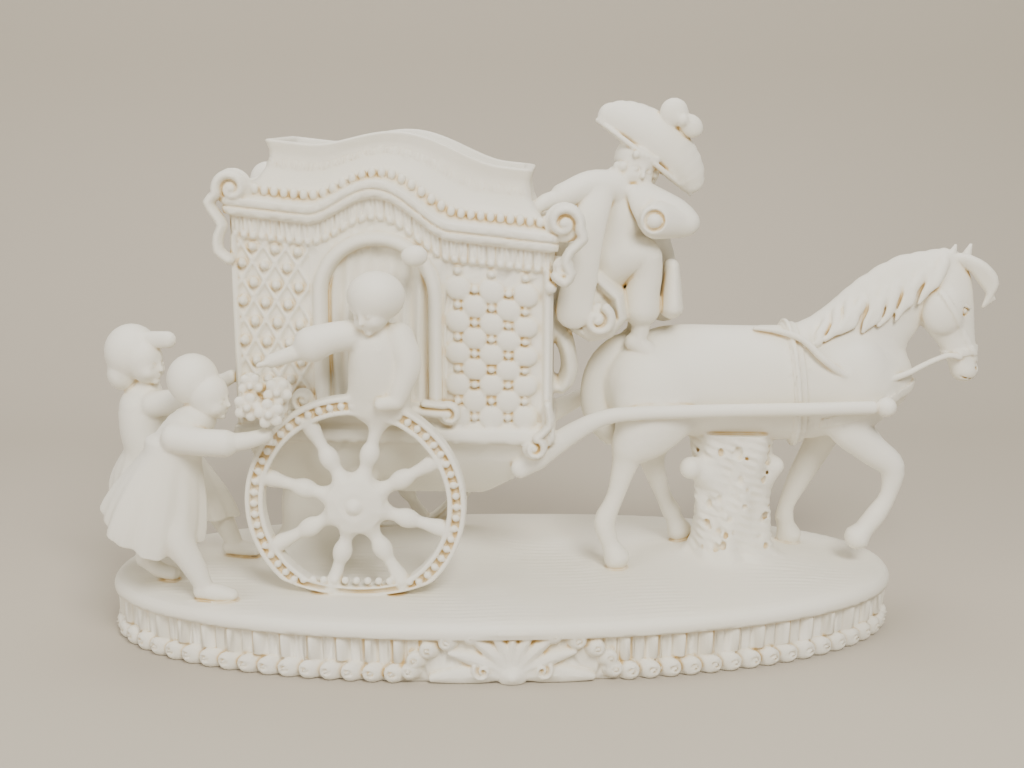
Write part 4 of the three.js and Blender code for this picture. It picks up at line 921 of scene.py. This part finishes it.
def far_hair(put, size):
    ball(put(-0.7, 0.1, 0.3), np.array((1.2, 1.18, 1.25)) * size, 0.6)
    ball(put(-1.05, 0.0, -0.72), np.array((0.7, 0.95, 0.8)) * size, 1.5)


def far_child():
    limb([(-146, 0, 99, 6, 6), (-148, 1, 92, 9.6, 10), (-147, 2, 80, 10.6, 11), (-143, 3, 72, 11, 11)], 3)
    head((-146, -3, 112), 9, -24, 6, 0, far_hair)
    skirt((-144, 3, 78), (-138, 4, 49), (11, 11, 25, 14), 8, -10, 1)
    limb([(-142, -4, 121, 3.4, 2.4), (-135, -7, 121.4, 3.4, 3)], 1)
    limb([(-142, -6, 95, 5.2), (-128, -8.4, 97.6, 5), (-117, -11, 103.6, 5.2)], 1.5)
    limb([(-116, -11, 104, 3.2), (-109, -13.6, 108, 2.6)], 0.8)
    limb([(-124, 6, 52, 5.6), (-119, 7, 41, 4.6), (-115.6, 7.6, 33, 3.6)], 1.5)
    limb([(-117, 7.6, 29.6, 3.2), (-110, 6.6, 29, 3.2, 3.8), (-106, 5.6, 28.6, 2.4, 3.2)], 1)
    limb([(-142, 9, 50, 5.4), (-143, 12, 40, 4.4), (-143, 13, 31.6, 3.4)], 1.5)


def flowers():
    blooms = ((-98, -42, 103, 5), (-90, -43, 100.6, 5.2), (-97, -40, 110.6, 4.4), (-87, -41, 108.4, 5), (-91, -35, 104, 7))
    for x, y, z, r in blooms:
        ball((x, y, z), (r, r * 0.9, r), 0.6)
        for k in range(5):
            a = 2 * math.pi * k / 5 + x
            ball((x + 0.7 * r * math.cos(a), y - 0.62 * r, z + 0.7 * r * math.sin(a)), (0.42 * r, 0.3 * r, 0.42 * r), 0.25)
        ball((x, y - 0.95 * r, z), 0.3 * r, 0.25)


# The skin of the clay as one mesh

def skin(clay):
    grid = openvdb.FloatGrid(FAR)
    grid.copyFromArray(np.clip(clay.field, -FAR, FAR), tolerance=0.0)
    points, _, quads = grid.convertToPolygons(isovalue=0.0, adaptivity=0.0)
    points = (points * STEP + clay.low).astype(np.float32)
    mesh = bpy.data.meshes.new("bisque_group")
    mesh.vertices.add(len(points))
    mesh.vertices.foreach_set("co", (points / 1000).ravel())
    corners = np.ascontiguousarray(quads).ravel().astype(np.int32)
    mesh.loops.add(len(corners))
    mesh.loops.foreach_set("vertex_index", corners)
    mesh.polygons.add(len(quads))
    mesh.polygons.foreach_set("loop_start", np.arange(0, len(corners), 4, dtype=np.int32))
    mesh.update(calc_edges=True)
    return mesh


def thinned(mesh, wanted):
    body = bpy.data.objects.new("bisque_group", mesh)
    bpy.context.scene.collection.objects.link(body)
    group = body.vertex_groups.new(name="fine")
    step = body.modifiers.new("thin", "DECIMATE")
    step.ratio = wanted / (2 * len(mesh.polygons))
    step.use_collapse_triangulate = True
    graph = bpy.context.evaluated_depsgraph_get()
    result = bpy.data.meshes.new_from_object(body.evaluated_get(graph))
    body.modifiers.clear()
    body.data = result
    body.vertex_groups.clear()
    return body


def skin_normals(body, clay):
    """Normals from the clay itself, so that shading is as fine as the clay."""
    mesh = body.data
    co = np.empty(len(mesh.vertices) * 3, np.float32)
    mesh.vertices.foreach_get("co", co)
    p = (co.reshape(-1, 3) * 1000 - clay.low) / STEP
    f = clay.field

    def sample(q):
        i = np.clip(np.floor(q).astype(int), 0, np.array(f.shape) - 2)
        t = np.clip(q - i, 0, 1)
        out = 0
        for a in (0, 1):
            for b in (0, 1):
                for c in (0, 1):
                    weight = np.abs(1 - a - t[:, 0]) * np.abs(1 - b - t[:, 1]) * np.abs(1 - c - t[:, 2])
                    out = out + f[i[:, 0] + a, i[:, 1] + b, i[:, 2] + c] * weight
        return out

    reach = 0.7
    slope = np.stack([sample(p + reach * np.eye(3)[k]) - sample(p - reach * np.eye(3)[k]) for k in range(3)], 1)
    slope /= np.linalg.norm(slope, axis=1)[:, None] + 1e-9
    mesh.polygons.foreach_set("use_smooth", np.ones(len(mesh.polygons), bool))
    mesh.normals_split_custom_set_from_vertices(slope)


# Material

def bisque():
    mat = bpy.data.materials.new("bisque")
    mat.use_nodes = True
    nodes, links = mat.node_tree.nodes, mat.node_tree.links
    shader = nodes["Principled BSDF"]
    shader.inputs["Roughness"].default_value = 0.62
    shader.inputs["Specular IOR Level"].default_value = 0.35
    shader.inputs["Subsurface Weight"].default_value = 0.0
    place = nodes.new("ShaderNodeTexCoord")

    def ramp(source, low, high, name):
        node = nodes.new("ShaderNodeMapRange")
        node.label = name
        node.interpolation_type = "SMOOTHSTEP"
        node.inputs["From Min"].default_value = low
        node.inputs["From Max"].default_value = high
        links.new(source, node.inputs["Value"])
        return node.outputs["Result"]

    # Masks from ambient occlusion, high in recesses where shade falls: they drive the painted shade and the ochre tint
    # in crevices below
    def hollow(distance, low, high, name):
        node = nodes.new("ShaderNodeAmbientOcclusion")
        node.samples = 8
        node.only_local = True
        node.inputs["Distance"].default_value = distance
        return ramp(node.outputs["AO"], high, low, name)

    def noise(scale, detail, name):
        node = nodes.new("ShaderNodeTexNoise")
        node.label = name
        node.inputs["Scale"].default_value = scale
        node.inputs["Detail"].default_value = detail
        links.new(place.outputs["Object"], node.inputs["Vector"])
        return node.outputs["Fac"]

    def times(a, b, kind="MULTIPLY"):
        node = nodes.new("ShaderNodeMath")
        node.operation = kind
        node.use_clamp = True
        for k, source in enumerate((a, b)):
            if isinstance(source, float):
                node.inputs[k].default_value = source
            else:
                links.new(source, node.inputs[k])
        return node.outputs[0]

    def blend(factor, a, b):
        node = nodes.new("ShaderNodeMix")
        node.data_type = "RGBA"
        for source, socket in ((factor, node.inputs[0]), (a, node.inputs[6]), (b, node.inputs[7])):
            if isinstance(source, tuple):
                socket.default_value = source
            else:
                links.new(source, socket)
        return node.outputs[2]

    fine = hollow(0.0018, 0.50, 0.96, "fine hollows")
    wide = hollow(0.008, 0.30, 0.92, "wide hollows")
    patchy = ramp(noise(55, 4, "patches"), 0.35, 0.68, "patches")
    cloud = ramp(noise(18, 3, "clouds"), 0.3, 0.75, "clouds")
    # Cream is the bisque's own colour; the warm colour serves both a random cloudy tone and the painted shade in broad
    # hollows
    cream, warm_tone_and_shade = (0.86, 0.83, 0.74, 1), (0.80, 0.74, 0.58, 1)
    ochre, deep = (0.62, 0.42, 0.13, 1), (0.36, 0.21, 0.05, 1)
    base = blend(times(cloud, 0.35), cream, warm_tone_and_shade)
    # Ochre in fine crevices, from 1.8 mm occlusion broken up by noise patches: partly the bisque's real ochre staining
    # in its recesses, partly painted shade
    stain_and_shade = times(fine, times(patchy, 0.45, "ADD"))
    # Painted shade: broad hollows found by 8 mm occlusion, under folds and inside the wheels, are tinted towards the
    # darker warm colour
    tone = blend(times(wide, 0.55), base, warm_tone_and_shade)
    tone = blend(times(stain_and_shade, 0.85), tone, ochre)
    links.new(tone, shader.inputs["Base Color"])
    grain = nodes.new("ShaderNodeBump")
    grain.inputs["Strength"].default_value = 0.12
    grain.inputs["Distance"].default_value = 0.0004
    links.new(noise(1400, 3, "grain"), grain.inputs["Height"])
    links.new(grain.outputs["Normal"], shader.inputs["Normal"])
    return mat


def plain(name, color, roughness):
    mat = bpy.data.materials.new(name)
    mat.use_nodes = True
    shader = mat.node_tree.nodes["Principled BSDF"]
    shader.inputs["Base Color"].default_value = color
    shader.inputs["Roughness"].default_value = roughness
    return mat


# Stage, lights and camera

def stage():
    mesh = bpy.data.meshes.new("studio_floor")
    w, near, far, high, bend = 1.6, -1.6, 0.55, 1.3, 0.25
    rows = [(near, 0.0), (far - bend, 0.0)]
    rows += [(far - bend + bend * math.sin(a), bend - bend * math.cos(a)) for a in np.linspace(0.1, math.pi / 2, 12)]
    rows += [(far, high)]
    points = [(x, y, z) for y, z in rows for x in (-w, w)]
    mesh.from_pydata(points, [], [(2 * k, 2 * k + 1, 2 * k + 3, 2 * k + 2) for k in range(len(rows) - 1)])
    for face in mesh.polygons:
        face.use_smooth = True
    floor = bpy.data.objects.new("studio_floor", mesh)
    bpy.context.scene.collection.objects.link(floor)
    mesh.materials.append(plain("studio_paper", (0.50, 0.45, 0.37, 1), 0.9))


def light(name, at, aim, size, watts, color):
    data = bpy.data.lights.new(name, "AREA")
    data.shape = "DISK"
    data.size = size
    data.energy = watts
    data.color = color
    lamp = bpy.data.objects.new(name, data)
    lamp.location = at
    lamp.rotation_euler = (Vector(aim) - Vector(at)).to_track_quat("-Z", "Y").to_euler()
    bpy.context.scene.collection.objects.link(lamp)


def studio():
    stage()
    light("key", (0.25, -0.9, 0.95), (0, 0, 0.1), 0.5, 17, (1.0, 0.98, 0.94))
    light("fill", (-0.9, -0.7, 0.5), (0, 0, 0.1), 0.8, 7, (1.0, 0.97, 0.92))
    light("top", (0.0, 0.3, 1.1), (0, 0, 0.1), 0.9, 7, (1.0, 0.98, 0.95))
    world = bpy.data.worlds.new("studio_air")
    world.use_nodes = True
    world.node_tree.nodes["Background"].inputs["Color"].default_value = (1.0, 0.97, 0.92, 1)
    world.node_tree.nodes["Background"].inputs["Strength"].default_value = 0.35
    bpy.context.scene.world = world


CAMERA = dict(lens=43.95, rise=12.5, swing=-2.5, roll=-0.31, away=0.5126, aim=(0.0021, 0.0, 0.10135))


def camera():
    el, az = math.radians(CAMERA["rise"]), math.radians(CAMERA["swing"])
    back = Vector((math.sin(az) * math.cos(el), -math.cos(az) * math.cos(el), math.sin(el)))
    right = Vector((0, 0, 1)).cross(back).normalized()
    turned = Matrix.Rotation(-math.radians(CAMERA["roll"]), 3, back) @ Matrix((right, back.cross(right), back)).transposed()
    data = bpy.data.cameras.new("camera")
    data.lens = CAMERA["lens"]
    data.sensor_width = 36
    data.clip_start = 0.02
    view = bpy.data.objects.new("camera", data)
    view.matrix_world = Matrix.Translation(Vector(CAMERA["aim"]) + CAMERA["away"] * back) @ turned.to_4x4()
    bpy.context.scene.collection.objects.link(view)
    bpy.context.scene.camera = view


# Making the group

def group():
    plinth()
    rock()
    stump()
    coach()
    for side in (-1, 1):
        wheel(side)
    pony()
    shaft(-18.2, -25)
    shaft(26.2, 22)
    driver()
    window_child()
    near_child()
    far_child()
    flowers()
    body = thinned(skin(CLAY), TRIANGLES)
    skin_normals(body, CLAY)
    body.data.materials.clear()
    body.data.materials.append(bisque())
    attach(body, "root")
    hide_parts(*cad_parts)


camera()
studio()
group()
